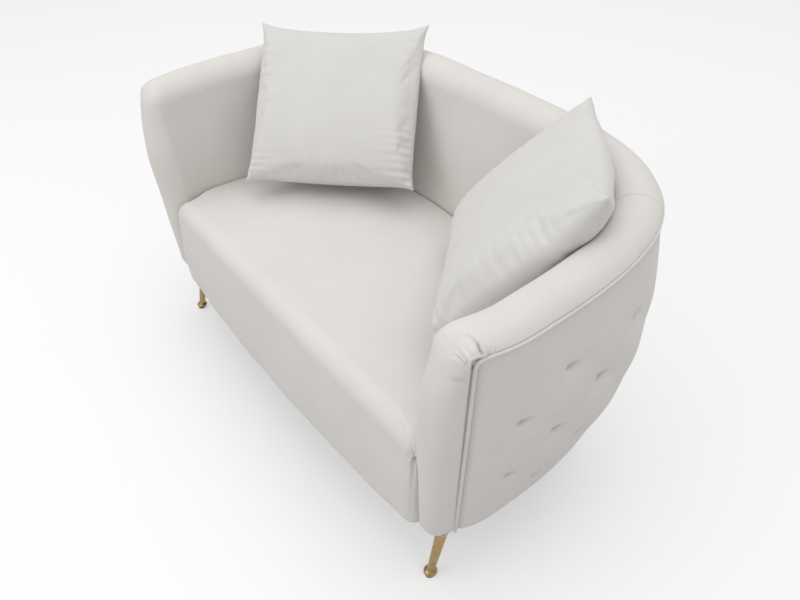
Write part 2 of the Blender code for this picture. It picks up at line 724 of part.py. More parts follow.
def rear_leg_place(side):
    """Top of a rear leg, set in from the wall's line at the rear corner."""
    s = REAR_LEG_S if side < 0 else PLAN_LENGTH - REAR_LEG_S
    return wall_point(s, -REAR_LEG_INSET, BASE_HEIGHT)[:2]


def add_corner_blocks():
    """Timber blocks in the corners of the base, which take the legs."""
    inner_face = HALF_SPAN - TURN_IN + float(rail_face(0.0)) - PLY - GAP
    front = ARM_FRONT + GAP
    top = BASE_HEIGHT + BLOCK_HEIGHT
    for side, sign in (("left", -1), ("right", 1)):
        across = sorted((sign * inner_face, sign * (inner_face - BLOCK_WIDTH)))
        low = (across[0], front, BASE_HEIGHT)
        add_box(side + "_front_corner_block", low, (across[1], front + BLOCK_LENGTH, top), TIMBER)
        s = REAR_LEG_S + np.array([-1.0, 1.0, 1.0, -1.0]) * BLOCK_LENGTH / 2
        s = s if sign < 0 else PLAN_LENGTH - s
        d = rail_face(s) - PLY - POST_CLEARANCE - BLOCK_WIDTH / 2 * np.array([0.0, 0.0, 1.0, 1.0])
        rings = [wall_point(s, d, np.full(4, z)) for z in (BASE_HEIGHT, top)]
        add_loft(side + "_rear_corner_block", rings, TIMBER)


def add_dust_cover():
    """Thin black cloth under the base, cut to the base's outline."""
    half = SEAT_HALF - NOSE_CORNER
    x = np.linspace(-half, half, FRONT_STEPS + 1)
    front = np.stack([x, nose_line(x) + DUST_INSET], axis=1)
    s = stations()[::-2]
    wall = wall_point(s, base_offset(s) - DUST_INSET, BASE_HEIGHT)[:, :2]
    outline = np.concatenate([front, wall])
    curve = bpy.data.curves.new("dust_cover", "CURVE")
    curve.dimensions = "2D"
    curve.fill_mode = "BOTH"
    curve.extrude = DUST_CLOTH / 2
    spline = curve.splines.new("POLY")
    spline.points.add(len(outline) - 1)
    spline.use_cyclic_u = True
    for knot, point in zip(spline.points, outline):
        knot.co = (*point, 0.0, 1.0)
    curve.materials.append(DUST)
    item = bpy.data.objects.new("dust_cover", curve)
    item.location = (0.0, 0.0, BASE_HEIGHT - GAP - DUST_CLOTH / 2)
    SOFA.objects.link(item)


def turned(name, profile, finish, place, splay=(0.0, 0.0), height=1.0):
    """Adds a turned piece from a profile of radius and height, its top moved off the foot by splay."""
    mesh = bpy.data.meshes.new(name)
    mesh.from_pydata([(r, 0.0, z) for r, z in profile], [(i, i + 1) for i in range(len(profile) - 1)], [])
    item = bpy.data.objects.new(name, mesh)
    SOFA.objects.link(item)
    screw = item.modifiers.new("turning", "SCREW")
    screw.steps = LEG_STEPS
    screw.render_steps = LEG_STEPS
    screw.use_merge_vertices = True
    screw.merge_threshold = MERGE
    view = bpy.context.evaluated_depsgraph_get()
    solid = bpy.data.meshes.new_from_object(item.evaluated_get(view))
    item.modifiers.clear()
    item.data = solid
    bpy.data.meshes.remove(mesh)
    solid.name = name
    slant = Matrix.Identity(4)
    slant[0][2] = splay[0] / height
    slant[1][2] = splay[1] / height
    solid.transform(slant)
    solid.materials.append(finish)
    solid.shade_smooth()
    solid.set_sharp_from_angle(angle=math.radians(40))
    item.location = (*place, 0.0)
    return item


def add_legs():
    """Tapered legs with a flattened ball foot, each under a fixing plate and on a glide."""
    plate_top = BASE_HEIGHT - 2 * GAP - DUST_CLOTH
    leg_top = plate_top - PLATE_THICKNESS - GAP
    foot_base = GLIDE_HEIGHT + GAP
    ankle = foot_base + FOOT_HEIGHT
    ball = [(FOOT_RADIUS * math.sin(turn), foot_base + FOOT_HEIGHT * (0.5 - 0.5 * math.cos(turn)))
            for turn in np.radians((140.0, 115.0, 90.0, 65.0, 45.0))]
    shaft = [(0.0, leg_top), (LEG_TOP_RADIUS, leg_top), (LEG_ANKLE_RADIUS, ankle)]
    leg_profile = shaft + ball + [(GLIDE_RADIUS, foot_base), (0.0, foot_base)]
    glide_profile = [(0.0, GLIDE_HEIGHT), (GLIDE_RADIUS, GLIDE_HEIGHT), (GLIDE_RADIUS, GLIDE_HEIGHT / 3),
                     (0.9 * GLIDE_RADIUS, 0.0), (0.0, 0.0)]
    for side, sign in (("left", -1), ("right", 1)):
        front = np.array([sign * (HALF_SPAN - FRONT_LEG_INSET), ARM_FRONT + FRONT_LEG_SETBACK])
        rear = rear_leg_place(sign)
        outward = rear / np.linalg.norm(rear)
        for row, top, away in (("front", front, np.array([0.0, -1.0])), ("rear", rear, outward)):
            foot = top + LEG_SPLAY * away
            name = side + "_" + row
            turned(name + "_leg", leg_profile, BRASS, foot, -LEG_SPLAY * away, leg_top)
            turned(name + "_glide", glide_profile, PLASTIC, foot, -LEG_SPLAY * away, leg_top)
            half = PLATE_SIZE / 2
            low = (top[0] - half, top[1] - half, plate_top - PLATE_THICKNESS)
            high = (top[0] + half, top[1] + half, plate_top)
            add_box(name + "_leg_plate", low, high, STEEL)


def cushion_points(side):
    """Grid of a loose cushion's front and back about its own middle, turned as it leans in its corner."""
    u = np.linspace(-1.0, 1.0, CUSHION_STEPS + 1)
    across, up = np.meshgrid(u, u, indexing="ij")
    half = CUSHION_SIZE / 2
    x = half * across * (1.0 - CUSHION_PINCH * (1.0 - up ** 2))
    z = half * up * (1.0 - CUSHION_PINCH * (1.0 - across ** 2))
    dome = np.sqrt((1.0 - across ** 2) * (1.0 - up ** 4))
    swell = CUSHION_THICKNESS / 2 * dome * (1.0 - CUSHION_SLUMP * up)
    lean = Matrix.Rotation(-CUSHION_LEAN, 3, "X")
    yaw = Matrix.Rotation(-side * CUSHION_YAW, 3, "Z")
    turn = np.array(yaw @ lean)
    bend = CUSHION_BEND * across ** 2
    front = np.stack([x, -swell - bend, z], axis=-1) @ turn.T
    back = np.stack([x, swell - bend, z], axis=-1) @ turn.T
    return front, back, np.array(turn @ np.array([0.0, 1.0, 0.0]))


def refine(grid, times):
    """Returns the points of a grid with more points set evenly along its facets."""
    rows = grid.shape[0]
    fine = np.linspace(0, rows - 1, (rows - 1) * times + 1)
    low = np.minimum(fine.astype(int), rows - 2)
    share = (fine - low)[:, None, None]
    grid = grid[low] * (1 - share) + grid[low + 1] * share
    grid = grid.transpose(1, 0, 2)
    grid = grid[low] * (1 - share) + grid[low + 1] * share
    return grid.reshape(-1, 3)


def settle(points, backward, from_middle):
    """Moves a left cushion down to the seat and back to the roll, and returns the shift that seats it."""
    sections = stations()
    sections = sections[sections < PLAN_LENGTH / 2]
    knots = wall_point(sections, 0.0, roll_height(sections))
    along = np.linspace(0, len(knots) - 1, ROLL_SAMPLES)
    roll = np.stack([np.interp(along, np.arange(len(knots)), knots[:, axis]) for axis in range(3)], axis=1)
    push = np.array([backward[0], backward[1], 0.0])
    push /= np.linalg.norm(push)
    shift = np.array([-from_middle, CUSHION_Y, SEAT_HEIGHT + CUSHION_SIZE / 2])
    for _ in range(4):
        placed = points + shift
        shift[2] -= np.min(placed[:, 2] - seat_level(placed[:, :2])) - GAP
        near, far = -CUSHION_SIZE / 2, CUSHION_SIZE / 2
        while far - near > GAP / 4:
            middle = (near + far) / 2
            trial = points + shift + push * middle
            clear = np.min(np.linalg.norm(trial[:, None, :] - roll[None, :, :], axis=2)) - ROLL_RADIUS
            if clear > SOFT_GAP:
                near = middle
            else:
                far = middle
        shift = shift + push * near
    return shift


def add_cushions():
    """Two loose square cushions, each leaning in a rear corner on the seat and against the roll."""
    half = CUSHION_STEPS / 2
    front, back, backward = cushion_points(-1)
    points = np.concatenate([refine(front, 3), refine(back, 3)])
    for name, side, place in (("left", -1, LEFT_CUSHION_X), ("right", 1, RIGHT_CUSHION_X)):
        shift = settle(points, backward, place)
        front, back, _ = cushion_points(side)
        item = add_sheet(name + "_scatter_cushion", front, back, CUSHION_VELVET,
                         crease=lambda i, k: (i < half) == (k < half))
        item.location = shift * (-side, 1.0, 1.0)


def main():
    """Builds the sofa from the frame outwards."""
    add_wall_rails()
    add_front()
    add_corner_blocks()
    add_posts()
    add_suspension()
    add_inner_liner()
    add_inside_padding()
    add_outside_panel()
    add_welt()
    add_arm_facings()
    add_seat()
    add_dust_cover()
    add_legs()
    add_cushions()


main()
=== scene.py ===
"""Two-seater tub sofa, dressed: smooth velvet cover, buttoned outside, loose cushions and turned brass legs.

Metres, +Z up, the front towards -Y and the floor at Z = 0. Each class is one sub-assembly of the sofa.
Surfaces are worked out with numpy as grids of points and put into their meshes whole.
"""

import json
import logging
import math
from dataclasses import dataclass
from enum import Enum
from functools import cached_property

import bmesh
import bpy
import numpy as np
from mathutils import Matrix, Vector


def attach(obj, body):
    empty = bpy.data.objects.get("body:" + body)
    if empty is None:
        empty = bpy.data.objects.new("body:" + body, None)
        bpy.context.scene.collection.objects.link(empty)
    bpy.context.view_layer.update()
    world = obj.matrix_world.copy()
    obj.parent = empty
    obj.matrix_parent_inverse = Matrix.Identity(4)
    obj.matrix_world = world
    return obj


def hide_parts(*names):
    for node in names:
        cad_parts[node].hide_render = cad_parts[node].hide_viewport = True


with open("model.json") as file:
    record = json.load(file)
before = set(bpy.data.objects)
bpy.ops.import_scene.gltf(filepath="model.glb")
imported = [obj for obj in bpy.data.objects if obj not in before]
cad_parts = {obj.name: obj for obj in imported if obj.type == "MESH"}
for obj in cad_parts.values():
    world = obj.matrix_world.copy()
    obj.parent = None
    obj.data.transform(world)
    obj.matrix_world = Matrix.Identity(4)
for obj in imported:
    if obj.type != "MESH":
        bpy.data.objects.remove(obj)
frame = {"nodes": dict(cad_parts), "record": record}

LOG = logging.getLogger("sofa")
WELD = 0.00002
Points = np.ndarray
Piece = bpy.types.Object
Material = bpy.types.Material
Tree = bpy.types.NodeTree
Node = bpy.types.Node
Colour = tuple[float, float, float]


class Body(Enum):
    """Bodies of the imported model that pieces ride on."""

    SOFA = "sofa"
    LEFT_CUSHION = "left_cushion"
    RIGHT_CUSHION = "right_cushion"


class Side(Enum):
    """The two sides of the sofa, as the sign of x."""

    LEFT = -1
    RIGHT = 1

    @property
    def label(self) -> str:
        """The side's name in lower case."""
        return self.name.lower()


class Slot(Enum):
    """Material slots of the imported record."""

    IVORY_VELVET = "ivory_velvet"
    WHITE_VELVET = "white_velvet"
    FOAM = "upholstery_foam"
    PLYWOOD = "birch_plywood"
    BOARD = "fibreboard"
    WEBBING = "elastic_webbing"
    DUST_CLOTH = "black_dust_cloth"
    BRASS = "antique_brass"
    ZINC = "zinc_plate"
    GLIDE = "black_glide"


@dataclass
class Patch:
    """A grid of points, and the core that its faces look away from.

    Attributes:
        points: Grid of points, rows by columns by 3.
        core: Points inside the form, of a shape that broadcasts to the grid's.
        wrap: Whether the last column joins the first.
    """

    points: Points
    core: Points
    wrap: bool = False

    def quads(self, start: int) -> Points:
        """Faces of the grid, turned away from the core.

        Point (i, k) has the number start + i * columns + k, and a quad joins it to the next column and row.
        The faces are reversed where their normals point to the core on the whole.

        Args:
            start: Number of the grid's first point.

        Returns:
            Quads as rows of four point numbers.
        """
        rows, columns = self.points.shape[:2]
        i = np.arange(rows - 1)[:, None] * columns
        k = np.arange(columns if self.wrap else columns - 1)[None, :]
        after = (k + 1) % columns
        faces = np.stack([i + k, i + after, i + columns + after, i + columns + k], axis=-1).reshape(-1, 4)
        flat = self.points.reshape(-1, 3)
        away = (self.points - self.core).reshape(-1, 3)[faces[:, 0]]
        normal = np.cross(flat[faces[:, 2]] - flat[faces[:, 0]], flat[faces[:, 3]] - flat[faces[:, 1]])
        if np.sum(normal * away) < 0.0:
            faces = faces[:, ::-1]
        return faces + start


def make_piece(name: str, patches: list[Patch], painted_shade: Points | None = None) -> Piece:
    """Makes one smooth mesh object of several patches, with their shared edges and poles joined.

    Args:
        name: Name of the piece.
        patches: The grids that make up its surface.
        painted_shade: Painted shade at each point, 0 to 1, if there is any.

    Returns:
        The new object, at the origin, with its place in its mesh.
    """
    starts = np.cumsum([0] + [patch.points.shape[0] * patch.points.shape[1] for patch in patches])
    points = np.concatenate([patch.points.reshape(-1, 3) for patch in patches])
    faces = np.concatenate([patch.quads(int(start)) for patch, start in zip(patches, starts)])
    mesh = bpy.data.meshes.new(name)
    mesh.from_pydata(points.tolist(), [], faces.tolist())
    # Painted shade of pits and creases, kept as a point attribute that the velvet darkens by.
    if painted_shade is not None:
        noted = mesh.attributes.new("painted_shade", "FLOAT", "POINT")
        noted.data.foreach_set("value", painted_shade.astype(np.float32).ravel())
    work = bmesh.new()
    work.from_mesh(mesh)
    bmesh.ops.remove_doubles(work, verts=work.verts[:], dist=WELD)
    bmesh.ops.dissolve_degenerate(work, edges=work.edges[:], dist=WELD / 4)
    work.to_mesh(mesh)
    work.free()
    mesh.shade_smooth()
    piece = bpy.data.objects.new(name, mesh)
    bpy.context.scene.collection.objects.link(piece)
    return piece


def read_rows(data: bpy.types.bpy_prop_collection, key: str) -> Points:
    """Three numbers of each item in a mesh's data, one row each."""
    flat = np.empty(len(data) * 3, np.float32)
    data.foreach_get(key, flat)
    return flat.reshape(-1, 3).astype(float)


def read_points(piece: Piece) -> Points:
    """The piece's points, one row each."""
    return read_rows(piece.data.vertices, "co")


def read_normals(piece: Piece) -> Points:
    """The normals at the piece's points, one row each."""
    return read_rows(piece.data.vertex_normals, "vector")


def write_points(piece: Piece, points: Points) -> None:
    """Puts changed points back into the piece's mesh."""
    piece.data.vertices.foreach_set("co", points.astype(np.float32).ravel())
    piece.data.update()


def unit(x: Points) -> Points:
    """The values, kept between 0 and 1."""
    return np.clip(x, 0.0, 1.0)


def smooth(x: Points) -> Points:
    """A smooth step from 0 to 1 as x goes from 0 to 1: x ** 2 (3 - 2 x)."""
    x = unit(x)
    return x * x * (3.0 - 2.0 * x)


def spaced(start: float, stop: float, step: float) -> Points:
    """Even places from start to stop, about step apart."""
    return np.linspace(start, stop, max(2, int(round((stop - start) / step)) + 1))


def turning(axis: int, angle: float) -> Points:
    """Turning about one of the three axes by an angle, as a matrix."""
    c, s = math.cos(angle), math.sin(angle)
    first, second = (axis + 1) % 3, (axis + 2) % 3
    matrix = np.eye(3)
    matrix[first, first] = matrix[second, second] = c
    matrix[first, second], matrix[second, first] = -s, s
    return matrix


def line_distance(points: Points, line: Points) -> tuple[Points, Points]:
    """Distance of points from a broken line, and how far along it they are.

    Args:
        points: Points, one row each.
        line: Knots of the line, one row each.

    Returns:
        The distance to the nearest place on the line, and that place's share of the way along the line.
    """
    start, run = line[:-1], np.diff(line, axis=0)
    size = np.linalg.norm(run, axis=1)
    away = points[:, None, :] - start[None, :, :]
    share = unit(np.sum(away * run, axis=-1) / size ** 2)
    gap = np.linalg.norm(away - share[..., None] * run, axis=-1)
    best = np.argmin(gap, axis=1)
    row = np.arange(len(points))
    along = (np.cumsum(size) - size)[best] + share[row, best] * size[best]
    return gap[row, best], along / size.sum()


def ripple(points: Points, reach: float, height: float, seed: int) -> Points:
    """Soft unevenness of padding: nine plane waves of seeded ways and lengths, added up.

    Args:
        points: Points, one row each.
        reach: Middle wavelength.
        height: Three times the height of one wave.
        seed: Seed of the draw.

    Returns:
        A height for each point.
    """
    draw = np.random.default_rng(seed)
    ways = draw.normal(size=(9, 3))
    ways /= np.linalg.norm(ways, axis=1, keepdims=True)
    pace = 2.0 * np.pi / (reach * draw.uniform(0.7, 1.6, 9))
    waves = np.sin(points @ (ways * pace[:, None]).T + draw.uniform(0.0, 2.0 * np.pi, 9))
    return height * waves.sum(axis=1) / 3.0


@dataclass(frozen=True)
class Fold:
    """A fold sunk into cloth along a line, a bell-shaped groove with a low ridge on each side of it, and
    painted shade in the groove.

    Attributes:
        line: Knots of the line, deepest at the first.
        width: Half width of the fold.
        depth: Depth at the first knot.
        ridge: Height of the cloth that stands up beside the fold, as a share of the depth.
        even: Whether the fold keeps its depth along the line and fades at both ends.
        full: Depth at which the painted shade in the groove is full.
        aside: How far from the line the ridges stand, in half widths.
    """

    line: Points
    width: float
    depth: float
    ridge: float = 0.35
    even: bool = False
    full: float = 0.005
    aside: float = 2.2

    def shape(self, points: Points) -> tuple[Points, Points]:
        """The fold at points.

        Args:
            points: Points, one row each.

        Returns:
            Heights, negative in the groove, and the painted shade there, 0 to 1.
        """
        gap, along = line_distance(points, self.line)
        fade = unit(4.0 * along * (1.0 - along)) ** 0.5 if self.even else (1.0 - along) ** 0.8
        groove = np.exp(-(gap / self.width) ** 2)
        beside = np.exp(-((gap - self.aside * self.width) / self.width) ** 2)
        height = self.depth * fade * (self.ridge * beside - groove)
        return height, min(1.0, self.depth / self.full) * fade * groove ** 2


def press_folds(piece: Piece, folds: list[Fold]) -> None:
    """Moves the piece's points along their normals by the folds, and notes painted shade in their grooves."""
    points = read_points(piece)
    normals = read_normals(piece)
    painted_shade = np.zeros(len(points), np.float32)
    noted = piece.data.attributes.get("painted_shade") or piece.data.attributes.new("painted_shade", "FLOAT", "POINT")
    noted.data.foreach_get("value", painted_shade)
    for fold in folds:
        reach = 6.0 * fold.width
        low, high = fold.line.min(axis=0) - reach, fold.line.max(axis=0) + reach
        near = np.all((points > low) & (points < high), axis=1)
        if near.any():
            height, groove = fold.shape(points[near])
            points[near] += normals[near] * height[:, None]
            # Painted shade: the darkest groove at each point is kept.
            painted_shade[near] = np.maximum(painted_shade[near], groove)
    noted.data.foreach_set("value", painted_shade)
    write_points(piece, points)


def roughen(piece: Piece, reach: float, height: float, seed: int) -> None:
    """Moves the piece's points along their normals by a ripple."""
    points = read_points(piece)
    lift = ripple(points, reach, height, seed)
    write_points(piece, points + read_normals(piece) * lift[:, None])


def settle(piece: Piece, body: Body, slot: Slot, material: Material, *nodes: str) -> None:
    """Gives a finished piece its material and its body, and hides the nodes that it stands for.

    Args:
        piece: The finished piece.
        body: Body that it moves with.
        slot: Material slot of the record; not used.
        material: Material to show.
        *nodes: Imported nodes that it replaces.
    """
    piece.data.materials.clear()
    piece.data.materials.append(material)
    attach(piece, body.value)
    if nodes:
        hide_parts(*nodes)
    LOG.info("%s: %d points, on %s", piece.name, len(piece.data.vertices), body.value)


@dataclass(frozen=True)
class Wall:
    """Plan line and sections of the tub wall.

    A place on the wall is s, the length along the roll's plan line from the left arm front, d, the offset
    outwards from that line, and z, the height.
    """

    half_span: float = 0.621
    back_line: float = 0.3125
    arm_front: float = -0.287
    corner_power: float = 3.7
    base: float = 0.158
    seat: float = 0.404
    tuck: float = 0.055
    arm_height: float = 0.716
    back_height: float = 0.760
    roll: float = 0.0515
    roll_end: float = math.radians(28)
    arm_inset: float = 0.0625
    back_inset: float = 0.0825
    arm_tuck: float = 0.002
    back_tuck: float = 0.035
    front_lean: float = 0.035
    lean_reach: float = 0.25
    turn_in: float = 0.020
    turn_reach: float = 0.090
    plump: float = 0.005
    panel_top_offset: float = 0.044
    panel_bulge: float = 0.050
    back_bulge: float = 0.040
    bulge_reach: float = 0.450
    welt: float = 0.004
    welt_sunk: float = 0.75
    gap: float = 0.0003
    plan_steps: int = 4001

    @cached_property
    def line(self) -> tuple[Points, Points, Points]:
        """The roll's plan line, half a superellipse: x, y and the length along it at many places."""
        turn = np.linspace(0.0, np.pi, self.plan_steps)
        across = -np.cos(turn)
        along = unit(np.sin(turn))
        x = self.half_span * np.sign(across) * np.abs(across) ** (2 / self.corner_power)
        y = self.arm_front + (self.back_line - self.arm_front) * along ** (2 / self.corner_power)
        return x, y, np.concatenate([[0.0], np.cumsum(np.hypot(np.diff(x), np.diff(y)))])

    @property
    def length(self) -> float:
        """Length of the plan line."""
        return float(self.line[2][-1])

    @property
    def lead(self) -> float:
        """Distance of the welt's middle from an edge that it lies along."""
        return self.welt + self.gap

    @property
    def welt_reach(self) -> float:
        """Distance of the welt's middle from the roll's, along the radius to the roll's outer edge."""
        return self.roll - self.welt_sunk * self.welt

    @property
    def welt_rise(self) -> float:
        """How far the welt's middle lies above the roll's, where it runs along the roll's outer edge."""
        return self.welt_reach * math.sin(self.roll_end) - self.lead * math.cos(self.roll_end)

    @property
    def welt_offset(self) -> float:
        """Offset of the welt's middle there."""
        return self.welt_reach * math.cos(self.roll_end) + self.lead * math.sin(self.roll_end)

    def end(self, side: Side) -> float:
        """Length along the plan line at an arm's front."""
        return 0.0 if side is Side.LEFT else self.length

    def from_end(self, s: Points) -> Points:
        """Distance from the nearer arm front along the plan line."""
        return np.minimum(s, self.length - s)

    def station(self, s: Points) -> tuple[Points, Points, Points, Points]:
        """Place and outward normal on the plan line, which runs straight on past the arm fronts.

        Args:
            s: Lengths along the line.

        Returns:
            x, y and the two parts of the normal.
        """
        x_line, y_line, s_line = self.line
        held = np.clip(s, 0.0, self.length)
        x = np.interp(held, s_line, x_line)
        y = np.interp(held, s_line, y_line)
        reach = self.back_line - self.arm_front
        slope_x = np.sign(x) * np.abs(x / self.half_span) ** (self.corner_power - 1) / self.half_span
        slope_y = np.abs((y - self.arm_front) / reach) ** (self.corner_power - 1) / reach
        size = np.hypot(slope_x, slope_y)
        return x, y - np.abs(s - held), slope_x / size, slope_y / size

    def outward(self, s: Points) -> Points:
        """Level outward ways at s."""
        _, _, normal_x, normal_y = self.station(s)
        return np.stack([normal_x, normal_y, 0.0 * normal_x], axis=-1)

    def back_share(self, s: Points) -> Points:
        """How much of the back's section holds at s: 0 on the arms and 1 in the middle of the back."""
        return self.station(s)[3] ** 2

    def centre(self, s: Points) -> Points:
        """Height of the roll's middle, which falls evenly from the back to the arm fronts."""
        y = self.station(np.clip(s, 0.0, self.length))[1]
        share = (y - self.arm_front) / (self.back_line - self.arm_front)
        return self.arm_height - self.roll + (self.back_height - self.arm_height) * share

    def point(self, s: Points, d: Points, z: Points) -> Points:
        """Point of the wall at s, d and z: the plan point moved along its normal.

        The arm fronts turn in by turn_in (1 - e / turn_reach) ** 2 at the distance e from their ends, and
        lean forward in the same way, the more the higher up.

        Args:
            s: Lengths along the line.
            d: Offsets outwards.
            z: Heights.

        Returns:
            Points, in the broadcast shape of the three with a last axis of 3.
        """
        s, d, z = np.broadcast_arrays(np.asarray(s, float), np.asarray(d, float), np.asarray(z, float))
        x, y, normal_x, normal_y = self.station(s)
        end = np.maximum(self.from_end(s), 0.0)
        climb = (z - self.base) / (self.arm_height - self.base)
        lean = self.front_lean * climb * unit(1.0 - end / self.lean_reach) ** 2
        turn = self.turn_in * np.sign(x) * unit(1.0 - end / self.turn_reach) ** 2
        return np.stack([x + normal_x * d - turn, y + normal_y * d - lean, z], axis=-1)

    def inside(self, s: Points, z: Points) -> Points:
        """Offset of the inside face: a smooth step from the seat inset to the roll, a little plump."""
        face = -(self.arm_inset + (self.back_inset - self.arm_inset) * self.back_share(s))
        low = self.seat - self.tuck
        rise = unit((z - low) / (self.centre(s) - low))
        return face + (-self.roll - face) * smooth(rise) - self.plump * np.sin(np.pi * rise) ** 2

    def panel_top(self, s: Points) -> Points:
        """Height of the outside panel's upper edge, just below the welt."""
        return self.centre(s) + self.welt_rise - self.lead

    def height(self, s: Points, share: Points) -> Points:
        """Height at a share of the outside panel's."""
        return self.base + (self.panel_top(s) - self.base) * share

    def bulge(self, s: Points, share: Points) -> Points:
        """How far the outside panel swells between its edges: not at the arm fronts, most on the sides."""
        fade = unit(self.from_end(s) / self.bulge_reach)
        most = self.panel_bulge + (self.back_bulge - self.panel_bulge) * self.back_share(s) ** 2
        return most * fade * (2.0 - fade) * np.sin(np.pi * share)

    def outside(self, s: Points, share: Points) -> Points:
        """Offset of the outside panel without its buttons: in at the foot, swollen between its edges."""
        foot = -(self.arm_tuck + (self.back_tuck - self.arm_tuck) * self.back_share(s))
        return foot + (self.panel_top_offset - foot) * share + self.bulge(s, share)


WALL = Wall()


